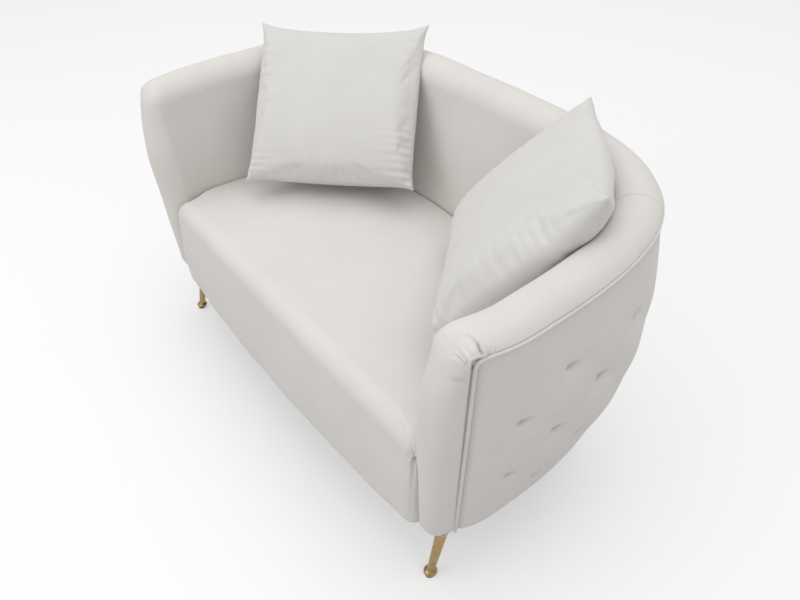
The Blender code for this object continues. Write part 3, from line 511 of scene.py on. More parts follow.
@dataclass
class TubCover:
    """Velvet over the inside of the wall, the roll and the padded arm fronts, in one piece."""

    wall: Wall = WALL
    fine: float = 0.0018
    coarse: float = 0.007
    front_reach: float = 0.11
    front_depth: float = 0.0555
    front_power: float = 2.25
    front_level: float = 0.500
    front_fall: float = 0.94
    front_back: float = 0.030
    front_rows: int = 44
    front_core: float = 0.05
    middle_blend: float = 0.10
    corner_turn: float = math.radians(50)
    hem_reach: float = 0.05
    hem_blend: float = 0.06
    foot_round: float = 0.016
    foot_inner: float = 0.3
    foot_reach: float = 0.03
    foot_rise: float = 0.045
    edge_back: float = 0.012
    edge_in: float = 0.007
    hem_in: tuple[float, float] = (0.010, 0.012)
    hem_down: tuple[float, float] = (0.0006, 0.010)
    gather_ridge: float = 0.22
    fold_width: float = 0.0022
    seam_share: float = 0.2215
    seam_reach: float = 0.009
    face_rows: int = 72
    roll_rows: int = 64
    uneven_reach: float = 0.16
    uneven: float = 0.0008
    seed: int = 5
    fill: float = 0.7

    @property
    def seams(self) -> tuple[float, float]:
        """Places of the two cross seams."""
        return self.seam_share * self.wall.length, (1.0 - self.seam_share) * self.wall.length

    def lengths(self) -> Points:
        """Places of the sections along the wall, closer near the arm fronts and at the cross seams."""
        reach = self.seam_reach
        near = spaced(0.0, self.front_reach, self.fine)
        edges = [self.front_reach, *self.seams, self.wall.length - self.front_reach]
        arm = spaced(edges[0], edges[1] - reach, self.coarse)
        seam = spaced(edges[1] - reach, edges[1] + reach, self.fine)
        back = spaced(edges[1] + reach, edges[2] - reach, self.coarse)
        first = np.concatenate([near, arm[1:], seam[1:]])
        return np.concatenate([first, back[1:-1], self.wall.length - first[::-1]])

    def lowest(self, s: Points) -> Points:
        """Where the inside face starts: the hem beside the arm fronts, the seat's tuck further back."""
        step = smooth((self.wall.from_end(s) - self.hem_reach) / self.hem_blend)
        return self.wall.base + (self.wall.seat - self.wall.tuck - self.wall.base) * step

    def nip(self, z: Points) -> Points:
        """How far the arm front's foot is rounded in at a height: a quarter circle above the hem."""
        below = np.clip(self.foot_round - (z - self.wall.base), 0.0, self.foot_round)
        return self.foot_round - np.sqrt(self.foot_round ** 2 - below ** 2)

    def depth(self, z: Points) -> Points:
        """Depth of an arm front's padding: even low down, less where it rounds over to the top."""
        over = unit((z - self.front_level) / (self.wall.arm_height - self.front_level))
        return self.front_depth * (1.0 - self.front_fall * over ** 2)

    def turns(self) -> Points:
        """Angles over the roll, from its inner side to where it meets the welt."""
        return np.linspace(math.pi, self.wall.roll_end, self.roll_rows)

    def ease(self, z: Points, turn: Points) -> Points:
        """How far the edge between roll and arm front is set back, so that its corner is large and soft.

        A smooth step up the inside face, from front_level to the roll's side, times one over the roll, from
        its outer edge to corner_turn further on.

        Args:
            z: Heights.
            turn: Angles over the roll, pi on the inside face.

        Returns:
            Distances along the wall.
        """
        up = smooth((z - self.front_level) / (self.wall.arm_height - self.wall.roll - self.front_level))
        return self.front_back * up * smooth((turn - self.wall.roll_end) / self.corner_turn)

    def wall_patch(self) -> Patch:
        """Inside face and roll: up from the tuck, round the roll, and in behind the welt."""
        wall = self.wall
        s = self.lengths()[:, None]
        centre = wall.centre(s)
        low = self.lowest(s)
        z_face = low + (centre - low) * np.linspace(0.0, 1.0, self.face_rows)[None, :-1]
        turn = self.turns()[None, :]
        inward, down = math.cos(wall.roll_end), math.sin(wall.roll_end)
        behind = wall.roll - np.array([self.hem_in])
        below = np.array([self.hem_down])
        tuck_d = behind * inward + below * down + 0.0 * centre
        tuck_z = centre + behind * down - below * inward
        from_end = wall.from_end(s)
        near = unit(1.0 - from_end / self.foot_reach)
        face_d = wall.inside(s, z_face) + self.foot_inner * self.nip(z_face) * near
        d = np.concatenate([face_d, wall.roll * np.cos(turn) + 0.0 * centre, tuck_d], axis=1)
        z = np.concatenate([z_face, centre + wall.roll * np.sin(turn), tuck_z], axis=1)
        inner_turn, outer_turn = np.full_like(z_face, math.pi), np.full_like(tuck_z, wall.roll_end)
        angle = np.concatenate([inner_turn, turn + 0.0 * centre, outer_turn], axis=1)
        back = self.ease(z, angle) * unit(1.0 - from_end / self.front_reach)
        back = np.where(s < wall.length / 2, back, -back)
        core = wall.point(s, 0.0, np.minimum(z, centre))
        return Patch(wall.point(s + back, d, z), core)

    def front_section(self, end: float) -> tuple[Points, Points, Points]:
        """Outline of an arm at its front and the line down its middle that the padding swells towards.

        The outline runs up the inside face, over the roll to the welt, down beside the panel and back along
        the foot.

        Args:
            end: The wall's length at that front.

        Returns:
            Offsets and heights of the closed outline, those of each outline point's place on the middle
            line, and the angle over the roll that each outline point counts as.
        """
        wall = self.wall
        centre = float(wall.centre(np.array(end)))
        top = float(wall.panel_top(np.array(end)))
        turn = self.turns()
        arc = np.stack([wall.roll * np.cos(turn), centre + wall.roll * np.sin(turn)], axis=1)
        z_in = wall.base + (centre - wall.base) * np.linspace(0.0, 1.0, self.face_rows)[:-1]
        inner = wall.inside(np.full_like(z_in, end), z_in) + self.foot_inner * self.nip(z_in)
        z_out = np.linspace(wall.base, arc[-1, 1], self.face_rows + 6)[:-1]
        share = unit((z_out - wall.base) / (top - wall.base))
        mix = unit((z_out - top) / (arc[-1, 1] - top))
        outer = wall.outside(np.full_like(z_out, end), share) - self.nip(z_out)
        outer = outer + (arc[-1, 0] - wall.panel_top_offset) * mix
        foot_d = np.linspace(outer[0], inner[0], 14)[1:-1]
        foot = np.stack([foot_d, np.full_like(foot_d, wall.base)], axis=1)
        outline = np.concatenate([np.stack([inner, z_in], 1), arc, np.stack([outer, z_out], 1)[::-1], foot])
        middle_z = np.clip(outline[:, 1], wall.base + self.foot_rise, centre)
        across = (np.interp(middle_z, z_in, inner) + np.interp(middle_z, z_out, outer)) / 2
        middle = np.stack([across * smooth((centre - middle_z) / self.middle_blend), middle_z], axis=1)
        angle = np.concatenate([0.0 * z_in + math.pi, turn, np.full(len(z_out) + len(foot_d), wall.roll_end)])
        return outline, middle, angle

    def front_patches(self, side: Side) -> list[Patch]:
        """Padded front of one arm and the edge that tucks in behind the welt.

        At a share v of the way in, the outline has shrunk towards the middle line by cos(pi v / 2) and the
        padding stands out by sin(pi v / 2), both to the power of 2 / front_power. It starts from an edge
        that is set back.

        Args:
            side: Which arm.

        Returns:
            Two patches.
        """
        wall = self.wall
        end = wall.end(side)
        outline, middle, angle = self.front_section(end)
        swing = np.linspace(0.0, math.pi / 2, self.front_rows)[:, None]
        shrink = unit(np.cos(swing)) ** (2 / self.front_power)
        d = middle[:, 0] + (outline[:, 0] - middle[:, 0]) * shrink
        z = middle[:, 1] + (outline[:, 1] - middle[:, 1]) * shrink
        back = self.ease(outline[:, 1], angle)
        ahead = (back + self.depth(z)) * np.sin(swing) ** (2 / self.front_power) - back
        core = wall.point(end - side.value * self.front_core, middle[:, 0], middle[:, 1])[None]
        face = Patch(wall.point(end + side.value * ahead, d, z), core, wrap=True)
        edge = outline[(outline[:, 0] > middle[:, 0]) & (angle <= wall.roll_end)]
        behind = np.linspace(0.0, 1.0, 4)[:, None]
        edge_s = end - side.value * self.edge_back * behind
        edge_d = edge[:, 0] - self.edge_in * behind ** 0.5
        tuck = wall.point(edge_s, edge_d, edge[:, 1])
        return [face, Patch(tuck, wall.point(edge_s, edge_d - self.front_core, edge[:, 1]))]

    def corner_folds(self, side: Side) -> list[Fold]:
        """Gathers where the cover turns over the top of an arm front, fanning out from the welt's corner.

        Each has its half width, its depth, and knots as distance ahead of the arm's end, offset, and height
        above the roll's middle.

        Args:
            side: Which arm.

        Returns:
            The folds.
        """
        wall = self.wall
        end = wall.end(side)
        centre = float(wall.centre(np.array(end)))
        gathers = [
            (0.0023, 0.0052, [(-0.012, 0.043, 0.028), (-0.011, 0.040, 0.033), (-0.012, 0.034, 0.039),
                              (-0.012, 0.026, 0.043), (-0.011, 0.015, 0.044), (-0.008, 0.009, 0.043)]),
            (0.0023, 0.0050, [(-0.003, 0.040, -0.003), (0.011, 0.039, 0.017), (0.014, 0.028, 0.021),
                              (0.014, 0.014, 0.021)]),
            (0.0023, 0.0036, [(-0.004, 0.041, 0.005), (0.009, 0.041, 0.022), (0.010, 0.027, 0.027),
                              (0.007, 0.011, 0.030)]),
            (0.0023, 0.0034, [(-0.009, 0.041, 0.011), (0.001, 0.042, 0.029), (0.000, 0.028, 0.035),
                              (-0.002, 0.019, 0.037)]),
            (0.0026, 0.0024, [(0.007, 0.042, -0.021), (0.017, 0.039, -0.017), (0.023, 0.032, -0.017),
                              (0.030, 0.017, -0.014), (0.028, -0.002, -0.006)]),
            (0.0015, 0.0022, [(-0.014, 0.045, 0.027), (-0.015, 0.040, 0.033), (-0.017, 0.035, 0.038)]),
            (0.0015, 0.0022, [(-0.018, 0.045, 0.027), (-0.019, 0.040, 0.033), (-0.021, 0.035, 0.039)]),
            (0.0015, 0.0020, [(-0.022, 0.045, 0.027), (-0.024, 0.041, 0.033), (-0.026, 0.036, 0.038)]),
            (0.0015, 0.0018, [(-0.027, 0.045, 0.028), (-0.029, 0.041, 0.033), (-0.031, 0.039, 0.036)]),
        ]
        folds = []
        for width, depth, knots in gathers:
            ahead, d, rise = np.array(knots).T
            line = wall.point(end + side.value * ahead, d, centre + rise)
            folds.append(Fold(line, width, depth, self.gather_ridge))
        return folds

    def welt_folds(self, side: Side) -> list[Fold]:
        """The deep seam that draws an arm front in beside the welt, deepest under the roll."""
        wall = self.wall
        end = wall.end(side)
        share = np.linspace(1.0, 0.0, 24)
        z = wall.base + (float(wall.panel_top(np.array(end))) + 0.006 - wall.base) * share
        d = wall.outside(np.full_like(share, end), share) + 0.002
        line = wall.point(end + side.value * 0.0005, d, z)
        return [Fold(line, self.fold_width, depth=0.0055, ridge=0.10)]

    def seam_folds(self) -> list[Fold]:
        """Cross seams over the roll, where the arms' lengths of velvet meet the back's."""
        wall = self.wall
        turn = np.linspace(math.pi, wall.roll_end, 19)
        folds = []
        for s in self.seams:
            z = wall.centre(np.array(s)) + wall.roll * np.sin(turn)
            line = wall.point(s, wall.roll * np.cos(turn), z)
            folds.append(Fold(line, self.fold_width, depth=0.0016, ridge=0.30, even=True))
        return folds

    def build(self) -> Piece:
        """Makes the cover's mesh and presses its gathers and seams in."""
        patches = [self.wall_patch(), *self.front_patches(Side.LEFT), *self.front_patches(Side.RIGHT)]
        piece = make_piece("tub_cover", patches)
        roughen(piece, self.uneven_reach, self.uneven, self.seed)
        for side in Side:
            press_folds(piece, self.welt_folds(side) + self.corner_folds(side))
        press_folds(piece, self.seam_folds())
        return piece

    def dress(self, piece: Piece, velvet: Material) -> None:
        """Puts the velvet on and lets the cover stand for the inside padding and the arm fronts."""
        settle(piece, Body.SOFA, Slot.IVORY_VELVET, velvet,
               "inside_cover", "inside_foam", "left_arm_facing", "right_arm_facing")


@dataclass
class ButtonedOutside:
    """Padded outside panel with its buttons in a diamond lattice."""

    wall: Wall = WALL
    columns: int = 11
    rows: int = 5
    margin: float = 0.183
    low_share: float = 0.148
    top_share: float = 0.764
    soft_depth: float = 0.0085
    pit_depth: float = 0.0280
    pit_reach: float = 0.0078
    pit_wide: float = 1.35
    pit_high: float = 0.85
    soft_power: float = 1.8
    soft_start: float = 0.025
    soft_reach: float = 0.06
    most: float = 0.0430
    spare: float = 0.0052
    fold_depth: float = 0.0032
    fold_width: float = 0.0050
    fold_reach: float = 0.024
    lip: float = 0.0034
    lip_back: float = 0.013
    lip_up: float = 0.011
    lip_wide: float = 0.012
    lip_high: float = 0.008
    clear_front: float = 0.055
    step: float = 0.0034
    row: float = 0.0068
    front_nip: float = 0.0095
    front_fade: float = 0.0040
    head_nip: float = 0.0060
    foot_nip: float = 0.0050
    edge_fade: float = 0.012
    foot_in: tuple[float, float] = (0.022, 0.008)
    foot_up: tuple[float, float] = (0.0012, 0.0)
    head_in: tuple[float, float] = (0.006, 0.014)
    head_up: tuple[float, float] = (0.001, 0.0)
    end_in: tuple[float, float] = (0.004, 0.011)
    button: float = 0.0050
    button_sink: float = 0.0030
    fill: float = 0.5

    @property
    def pitch(self) -> float:
        """Distance between buttons of one row."""
        return (self.wall.length - 2 * self.margin) / (self.columns - 1)

    @property
    def row_step(self) -> float:
        """Distance between rows as a share of the panel's height."""
        return (self.top_share - self.low_share) / (self.rows - 1)

    def sink(self, s: Points, share: Points) -> tuple[Points, Points]:
        """Depth of the buttoning, and the painted shade of its pits.

        In lattice units a = (s - margin) / (pitch / 2) and b = (share - low) / row step, buttons sit where
        a + b is even. The depth is a soft swell of (1 + cos(pi a) cos(pi b)) / 2 to the power of soft_power, a
        narrow pit exp(-(r / reach) ** 2) round each button at distance r, wider than high, short folds on the
        diagonals that fade with r, and a small lip of cloth above the pit, towards the back. Where the panel
        is too thin for the greatest depth, all of it is less deep, and it dies away within half a row outside
        the outer rows.

        Args:
            s: Lengths along the wall.
            share: Shares of the panel's height.

        Returns:
            Depths below the swollen face, and painted shade from 0 to 1 that is greatest in the pits.
        """
        wall = self.wall
        a = (s - self.margin) / (self.pitch / 2)
        b = (share - self.low_share) / self.row_step
        p, q = (a + b) / 2, (a - b) / 2
        near_p, near_q = np.round(p), np.round(q)
        node_a, node_b = near_p + near_q, near_p - near_q
        row_height = self.row_step * (wall.panel_top(s) - wall.base)
        over, up = (a - node_a) * self.pitch / 2, (b - node_b) * row_height
        r = np.hypot(over / self.pit_wide, up / self.pit_high)
        node_s = self.margin + node_a * self.pitch / 2
        real = (node_b >= -0.5) & (node_b <= self.rows - 0.5) & (wall.from_end(node_s) > self.clear_front)
        wave = 0.5 + 0.5 * np.cos(np.pi * a) * np.cos(np.pi * b)
        from_front = unit((wall.from_end(s) - self.soft_start) / self.soft_reach)
        from_edge = unit(np.minimum(share / self.low_share, (1 - share) / (1 - self.top_share)))
        swell = self.soft_depth * wave ** self.soft_power * from_front * np.sqrt(from_edge) * real
        pit = self.pit_depth * np.exp(-(r / self.pit_reach) ** 2)
        slant = np.hypot(self.pitch / 2, row_height)
        across = self.pitch * row_height / slant
        line_p, line_q = np.abs(p - near_p) * across, np.abs(q - near_q) * across
        crease = np.exp(-(line_p / self.fold_width) ** 2) + np.exp(-(line_q / self.fold_width) ** 2)
        fold = self.fold_depth * crease * np.exp(-r / self.fold_reach)
        backward = np.where(s > wall.length / 2, -over, over)
        off_back, off_up = (backward - self.lip_back) / self.lip_wide, (up - self.lip_up) / self.lip_high
        lip = self.lip * np.exp(-(off_back ** 2 + off_up ** 2))
        room = unit((self.spare + wall.bulge(s, share)) / self.most)
        room = room * smooth(2.0 * np.minimum(self.rows - 0.5 - b, b + 0.5))
        # The second value is painted shade, darkest in the middle of each pit.
        return room * (swell + (pit + fold - lip) * real), real * np.exp(-(r / (0.9 * self.pit_reach)) ** 2)

    def build(self) -> Piece:
        """Makes the panel: its face over s and share, with rounded edges turned in behind it."""
        wall = self.wall
        front = 2 * wall.lead
        s = spaced(front, wall.length - front, self.step)[:, None]
        share = spaced(0.0, 1.0, self.row)[None, :]
        height = wall.height(s, share)
        # The second value is the painted shade of the pits.
        depth, pit_shade = self.sink(s, share)
        d = wall.outside(s, share) - depth
        from_end = np.minimum(s - front, wall.length - front - s)
        d = d - self.front_nip * np.exp(-from_end / self.front_fade)
        d = d - self.head_nip * np.exp(-(1.0 - share) / self.edge_fade)
        d = d - self.foot_nip * np.exp(-share / self.edge_fade)
        face = wall.point(s, d, height)
        foot = wall.point(s, d[:, :1] - self.foot_in, wall.base + np.array(self.foot_up))
        head = wall.point(s, d[:, -1:] - self.head_in, height[:, -1:] + self.head_up)
        points = np.concatenate([foot, face, head], axis=1)
        end_in = np.array(self.end_in)[:, None]
        first = wall.point(front + 0.0 * end_in, d[:1] - end_in[::-1], height[:1])
        last = wall.point(wall.length - front + 0.0 * end_in, d[-1:] - end_in, height[-1:])
        first, last = (np.pad(rows, ((0, 0), (2, 2), (0, 0)), mode="edge") for rows in (first, last))
        points = np.concatenate([first, points, last], axis=0)
        core_s = np.concatenate([[front, front], s[:, 0], [wall.length - front] * 2])[:, None]
        core = wall.point(core_s, -0.06, points[..., 2])
        return make_piece("buttoned_panel", [Patch(points, core)], np.pad(pit_shade, 2, mode="edge"))

    def buttons(self) -> Piece:
        """Makes the covered buttons: shallow domes set square to the wall in the bottom of each pit."""
        wall = self.wall
        a, b = np.meshgrid(np.arange(-2, 2 * self.columns), np.arange(self.rows), indexing="ij")
        a, b = a[(a + b) % 2 == 0], b[(a + b) % 2 == 0]
        s = self.margin + a * self.pitch / 2
        kept = wall.from_end(s) > self.clear_front
        s, share = s[kept], self.low_share + b[kept] * self.row_step
        depth = self.sink(s, share)[0] + self.button_sink
        middle = wall.point(s, wall.outside(s, share) - depth, wall.height(s, share))
        out = wall.outward(s)
        up = np.array([0.0, 0.0, 1.0])
        over = np.cross(up, out)
        ring = np.array([1.0, 0.98, 0.86, 0.60, 0.30, 0.0])[:, None]
        lift = np.array([-0.0020, 0.0004, 0.0020, 0.0034, 0.0041, 0.0043])[:, None]
        turn = np.linspace(0.0, 2.0 * np.pi, 13)[None, :-1]
        x, y = self.button * ring * np.cos(turn), self.button * ring * np.sin(turn)
        grids = middle[:, None, None, :] + x[..., None] * over[:, None, None, :] + y[..., None] * up \
            + (lift + 0.0 * turn)[..., None] * out[:, None, None, :]
        patches = [Patch(grid, grid.mean(axis=(0, 1)) - 0.01 * way, wrap=True)
                   for grid, way in zip(grids, out)]
        return make_piece("covered_buttons", patches)

    def dress(self, panel: Piece, buttons: Piece, velvet: Material) -> None:
        """Puts the velvet on the panel and its buttons."""
        settle(panel, Body.SOFA, Slot.IVORY_VELVET, velvet, "outside_tufted_panel")
        settle(buttons, Body.SOFA, Slot.IVORY_VELVET, velvet)


@dataclass
class Welt:
    """Piping up both arm fronts and along the roll's outer edge."""

    wall: Wall = WALL
    corner: float = 0.017
    roll_start: float = 0.026
    step: float = 0.005
    sides: int = 12

    def arm_line(self) -> tuple[Points, Points]:
        """Line of the welt up the left arm front and round the panel's corner, and its lengths s."""
        wall = self.wall
        lead = wall.lead
        rise = np.linspace(0.01, 0.968, 110)
        foot_s = np.full_like(rise, lead)
        foot = wall.point(foot_s, wall.outside(foot_s, rise) - wall.welt / 4, wall.height(foot_s, rise))
        bend = np.linspace(math.pi, math.pi / 2, 12)
        bend_s = lead + self.corner * (1.0 + np.cos(bend))
        bend_z = wall.panel_top(bend_s) + lead - self.corner * (1.0 - np.sin(bend))
        ease = np.linspace(0.0, 1.0, len(bend))
        start = wall.panel_top_offset - wall.welt / 4
        corner = wall.point(bend_s, start + (wall.welt_offset - start) * ease, bend_z)
        return np.concatenate([foot, corner]), np.concatenate([foot_s, bend_s])

    def build(self) -> Piece:
        """Makes the welt: a circle carried along its line, square to it, and closed at both feet."""
        wall = self.wall
        arm, arm_s = self.arm_line()
        run = spaced(self.roll_start, wall.length - self.roll_start, self.step)
        line = wall.point(run, wall.welt_offset, wall.centre(run) + wall.welt_rise)
        path = np.concatenate([arm, line, arm[::-1] * (-1.0, 1.0, 1.0)])
        s = np.concatenate([arm_s, run, wall.length - arm_s[::-1]])
        ahead = np.gradient(path, axis=0)
        ahead /= np.linalg.norm(ahead, axis=1, keepdims=True)
        side = np.cross(ahead, wall.outward(s))
        side /= np.linalg.norm(side, axis=1, keepdims=True)
        out = np.cross(side, ahead)
        size = np.pad(np.full(len(path), wall.welt), 1)[:, None, None]
        path, side, out = (np.pad(rows, ((1, 1), (0, 0)), mode="edge") for rows in (path, side, out))
        turn = np.linspace(0.0, 2.0 * np.pi, self.sides + 1)[None, :-1, None]
        ring = size * (np.cos(turn) * out[:, None, :] + np.sin(turn) * side[:, None, :])
        return make_piece("welt", [Patch(path[:, None, :] + ring, path[:, None, :], wrap=True)])

    def dress(self, piece: Piece, velvet: Material) -> None:
        """Puts the velvet on the welt."""
        settle(piece, Body.SOFA, Slot.IVORY_VELVET, velvet, "outer_welt")


@dataclass(frozen=True)
class Seat:
    """Tight seat: crowned top, rounded front edge and apron in one cover."""

    wall: Wall = WALL
    crown: float = 0.036
    nose_end: float = -0.343
    nose_bow: float = 0.021
    nose_round: float = 0.042
    nose_corner: float = 0.026
    side_round: float = 0.016
    clearance: float = 0.0006
    apron_bulge: float = 0.004
    middle_y: float = -0.03
    least_square: float = 0.45
    soft_span: int = 17
    hem_in: float = 0.010
    hem_up: float = 0.0015
    uneven_reach: float = 0.19
    uneven: float = 0.0012
    seed: int = 11
    fill: float = 0.75

    @property
    def half(self) -> float:
        """Half width of the seat between the arms."""
        return self.wall.half_span - self.wall.arm_inset - self.wall.turn_in - self.clearance

    def nose(self, x: Points) -> Points:
        """The front edge in plan: a shallow bow between the arms."""
        return self.nose_end - self.nose_bow * (1.0 - (x / self.half) ** 2)

    def level(self, x: Points, y: Points) -> Points:
        """Height of the crowned top: highest midway between the arms, falling to the arms and the back."""
        across = np.clip(x / self.half, -1.0, 1.0)
        back = self.wall.back_line - self.wall.back_inset
        along = unit((y - self.nose_end) / (back - self.nose_end))
        return self.wall.seat + self.crown * (1.0 - across ** 2) * (1.0 - along ** 4)

    def outline(self) -> tuple[Points, Points]:
        """The seat in plan, from the middle of the front round by the right arm, and what is in front.

        Returns:
            Plan points of the closed outline, and 1 for each on the front edge, 0 along the wall.
        """
        corner = self.nose_corner
        near = self.half - corner - 0.040
        x = np.concatenate([spaced(0.0, near, 0.0065), spaced(near, self.half - corner, 0.0018)[1:]])
        front = np.stack([x, self.nose(x)], axis=1)
        start = float(self.nose(np.array(self.half - corner)))
        turn = np.linspace(0.0, math.pi / 2, 25)[1:]
        bend_x = self.half - corner + corner * np.sin(turn)
        bend = np.stack([bend_x, start + corner * (1 - np.cos(turn))], axis=1)
        side_y = spaced(start + corner, self.wall.arm_front, 0.004)[1:-1]
        side = np.stack([np.full_like(side_y, self.half), side_y], axis=1)
        s = spaced(self.wall.length / 2, self.wall.length, 0.0055)[::-1]
        inner = self.wall.inside(s, np.full_like(s, self.wall.seat)) - self.clearance
        around = self.wall.point(s, inner, self.wall.base)[:, :2]
        right = np.concatenate([front, bend, side, around])
        ahead = np.concatenate([np.ones(len(front) + len(bend) + len(side)), np.zeros(len(around))])
        mirrored = right[1:-1][::-1] * (-1.0, 1.0)
        return np.concatenate([right, mirrored]), np.concatenate([ahead, ahead[1:-1][::-1]])

    def build(self) -> Piece:
        """Makes the cover as rings of its outline: up the apron, over the edge and in to the middle.

        The edge drops by R - sqrt(R ** 2 - (R - t) ** 2) within R of the outline, at the distance t from it,
        with the nose's radius in front and a tight one along the wall.
        """
        plan, ahead = self.outline()
        along = np.roll(plan, -1, axis=0) - np.roll(plan, 1, axis=0)
        inward = np.stack([-along[:, 1], along[:, 0]], axis=1)
        inward /= np.linalg.norm(inward, axis=1, keepdims=True)
        spoke = np.array([0.0, self.middle_y]) - plan
        reach = np.linalg.norm(spoke, axis=1)
        spoke /= reach[:, None]
        square = np.clip(np.sum(spoke * inward, axis=1), self.least_square, 1.0)
        window = np.ones(self.soft_span) / self.soft_span
        soft = np.convolve(np.pad(ahead, self.soft_span // 2, mode="wrap"), window, "valid")
        radius = self.side_round + (self.nose_round - self.side_round) * soft
        low = np.where(ahead > 0.5, self.wall.base, self.wall.seat - self.wall.tuck)
        climb = np.concatenate([[0.0, 0.0], np.linspace(0.02, 0.84, 24), np.linspace(0.85, 1.0, 19)])[:, None]
        edge_z = self.level(plan[:, 0], plan[:, 1]) - radius
        skirt_z = low + (edge_z - low) * climb
        tuck_in = np.where(np.arange(len(climb)) == 0, self.hem_in, 0.0)[:, None]
        swell = self.apron_bulge * np.sin(np.pi * climb) * ahead
        skirt = plan[None] + inward[None] * (tuck_in - swell)[..., None]
        skirt_z[0] += self.hem_up
        bend = np.linspace(0.0, math.pi / 2, 33)[1:, None]
        t = radius * (1.0 - np.cos(bend))
        over = plan[None] + spoke[None] * (t / square)[..., None]
        over_z = self.level(over[..., 0], over[..., 1]) - radius * (1.0 - np.sin(bend))
        share = np.linspace(0.0, 1.0, 52)[1:, None] ** 0.9
        last = radius / square
        inset = last + (reach - last) * share
        top = plan[None] + spoke[None] * inset[..., None]
        top_z = self.level(top[..., 0], top[..., 1])
        rings = np.concatenate([skirt, over, top])
        heights = np.concatenate([skirt_z, over_z, top_z])
        points = np.concatenate([rings, heights[..., None]], axis=-1)
        core = np.concatenate([0.7 * plan, np.full((len(plan), 1), 0.25)], axis=1)[None]
        piece = make_piece("seat_upholstery", [Patch(points, core, wrap=True)])
        roughen(piece, self.uneven_reach, self.uneven, self.seed)
        press_folds(piece, self.corner_folds())
        return piece

    def corner_folds(self) -> list[Fold]:
        """Tucks where the front edge is drawn back into the crevice beside each arm, and the crease below.

        Each has its half width, its depth, and knots that start from the seat's front corner.
        """
        tucks = [
            (0.0024, 0.0036, [(-0.0049, 0.0074, -0.0447), (-0.0069, 0.0059, -0.0313),
                              (-0.0129, 0.0063, -0.0232), (-0.0193, 0.0070, -0.0130)]),
            (0.0020, 0.0030, [(-0.0082, 0.0038, -0.0401), (-0.0127, 0.0014, -0.0322),
                              (-0.0174, 0.0006, -0.0263), (-0.0218, 0.0009, -0.0222)]),
            (0.0024, 0.0044, [(-0.0044, 0.0069, -0.0497), (-0.0086, 0.0019, -0.0457),
                              (-0.0139, -0.0004, -0.0435), (-0.0196, -0.0018, -0.0400),
                              (-0.0236, -0.0023, -0.0344)]),
            (0.0022, 0.0026, [(-0.0036, 0.0079, -0.0531), (-0.0092, 0.0035, -0.0577),
                              (-0.0131, -0.0011, -0.0553), (-0.0186, -0.0025, -0.0539)]),
            (0.0030, 0.0060, [(-0.0050, 0.0074, -0.0440), (-0.0048, 0.0066, -0.0510),
                              (-0.0058, 0.0074, -0.0600)]),
            (0.0030, 0.0026, [(-0.0060, 0.0040, -0.0520), (-0.0090, 0.0020, -0.2360)]),
        ]
        corner = np.array([self.half, self.nose_end, self.wall.seat])
        return [Fold((corner + np.array(knots)) * (side.value, 1.0, 1.0), width, depth)
                for side in Side for width, depth, knots in tucks]

    def dress(self, piece: Piece, velvet: Material) -> None:
        """Puts the velvet on and lets the cover stand for the seat's cover and foam."""
        settle(piece, Body.SOFA, Slot.IVORY_VELVET, velvet, "seat_cover", "seat_foam", "apron_foam")


SEAT = Seat()
CLOTH = {
    "quality": 7,
    "mass": 0.25,
    "tension_stiffness": 22.0,
    "compression_stiffness": 22.0,
    "shear_stiffness": 9.0,
    "bending_stiffness": 0.35,
    "tension_damping": 8.0,
    "compression_damping": 8.0,
    "air_damping": 2.0,
}


def inflate(piece: Piece, pressure: float, frames: int, cap: float) -> None:
    """Blows a sewn cover up with Blender's cloth and keeps the result in the mesh.

    Args:
        piece: Closed cover of two cloths, nearly flat.
        pressure: Pressure of the filling.
        frames: Frames to run.
        cap: Movement that a point comes near to and doesn't pass.
    """
    start = read_points(piece)
    cloth = piece.modifiers.new("filling", "CLOTH")
    for key, value in CLOTH.items():
        setattr(cloth.settings, key, value)
    cloth.settings.use_pressure = True
    cloth.settings.uniform_pressure_force = pressure
    cloth.settings.effector_weights.gravity = 0.0
    cloth.collision_settings.use_collision = False
    cloth.point_cache.frame_start = 1
    cloth.point_cache.frame_end = frames
    scene = bpy.context.scene
    for number in range(1, frames + 1):
        scene.frame_set(number)
    view = bpy.context.evaluated_depsgraph_get()
    move = read_rows(piece.evaluated_get(view).to_mesh().vertices, "co") - start
    piece.evaluated_get(view).to_mesh_clear()
    piece.modifiers.remove(cloth)
    scene.frame_set(1)
    size = np.linalg.norm(move, axis=1, keepdims=True)
    write_points(piece, start + move * cap * np.tanh(size / cap) / np.maximum(size, 1e-9))


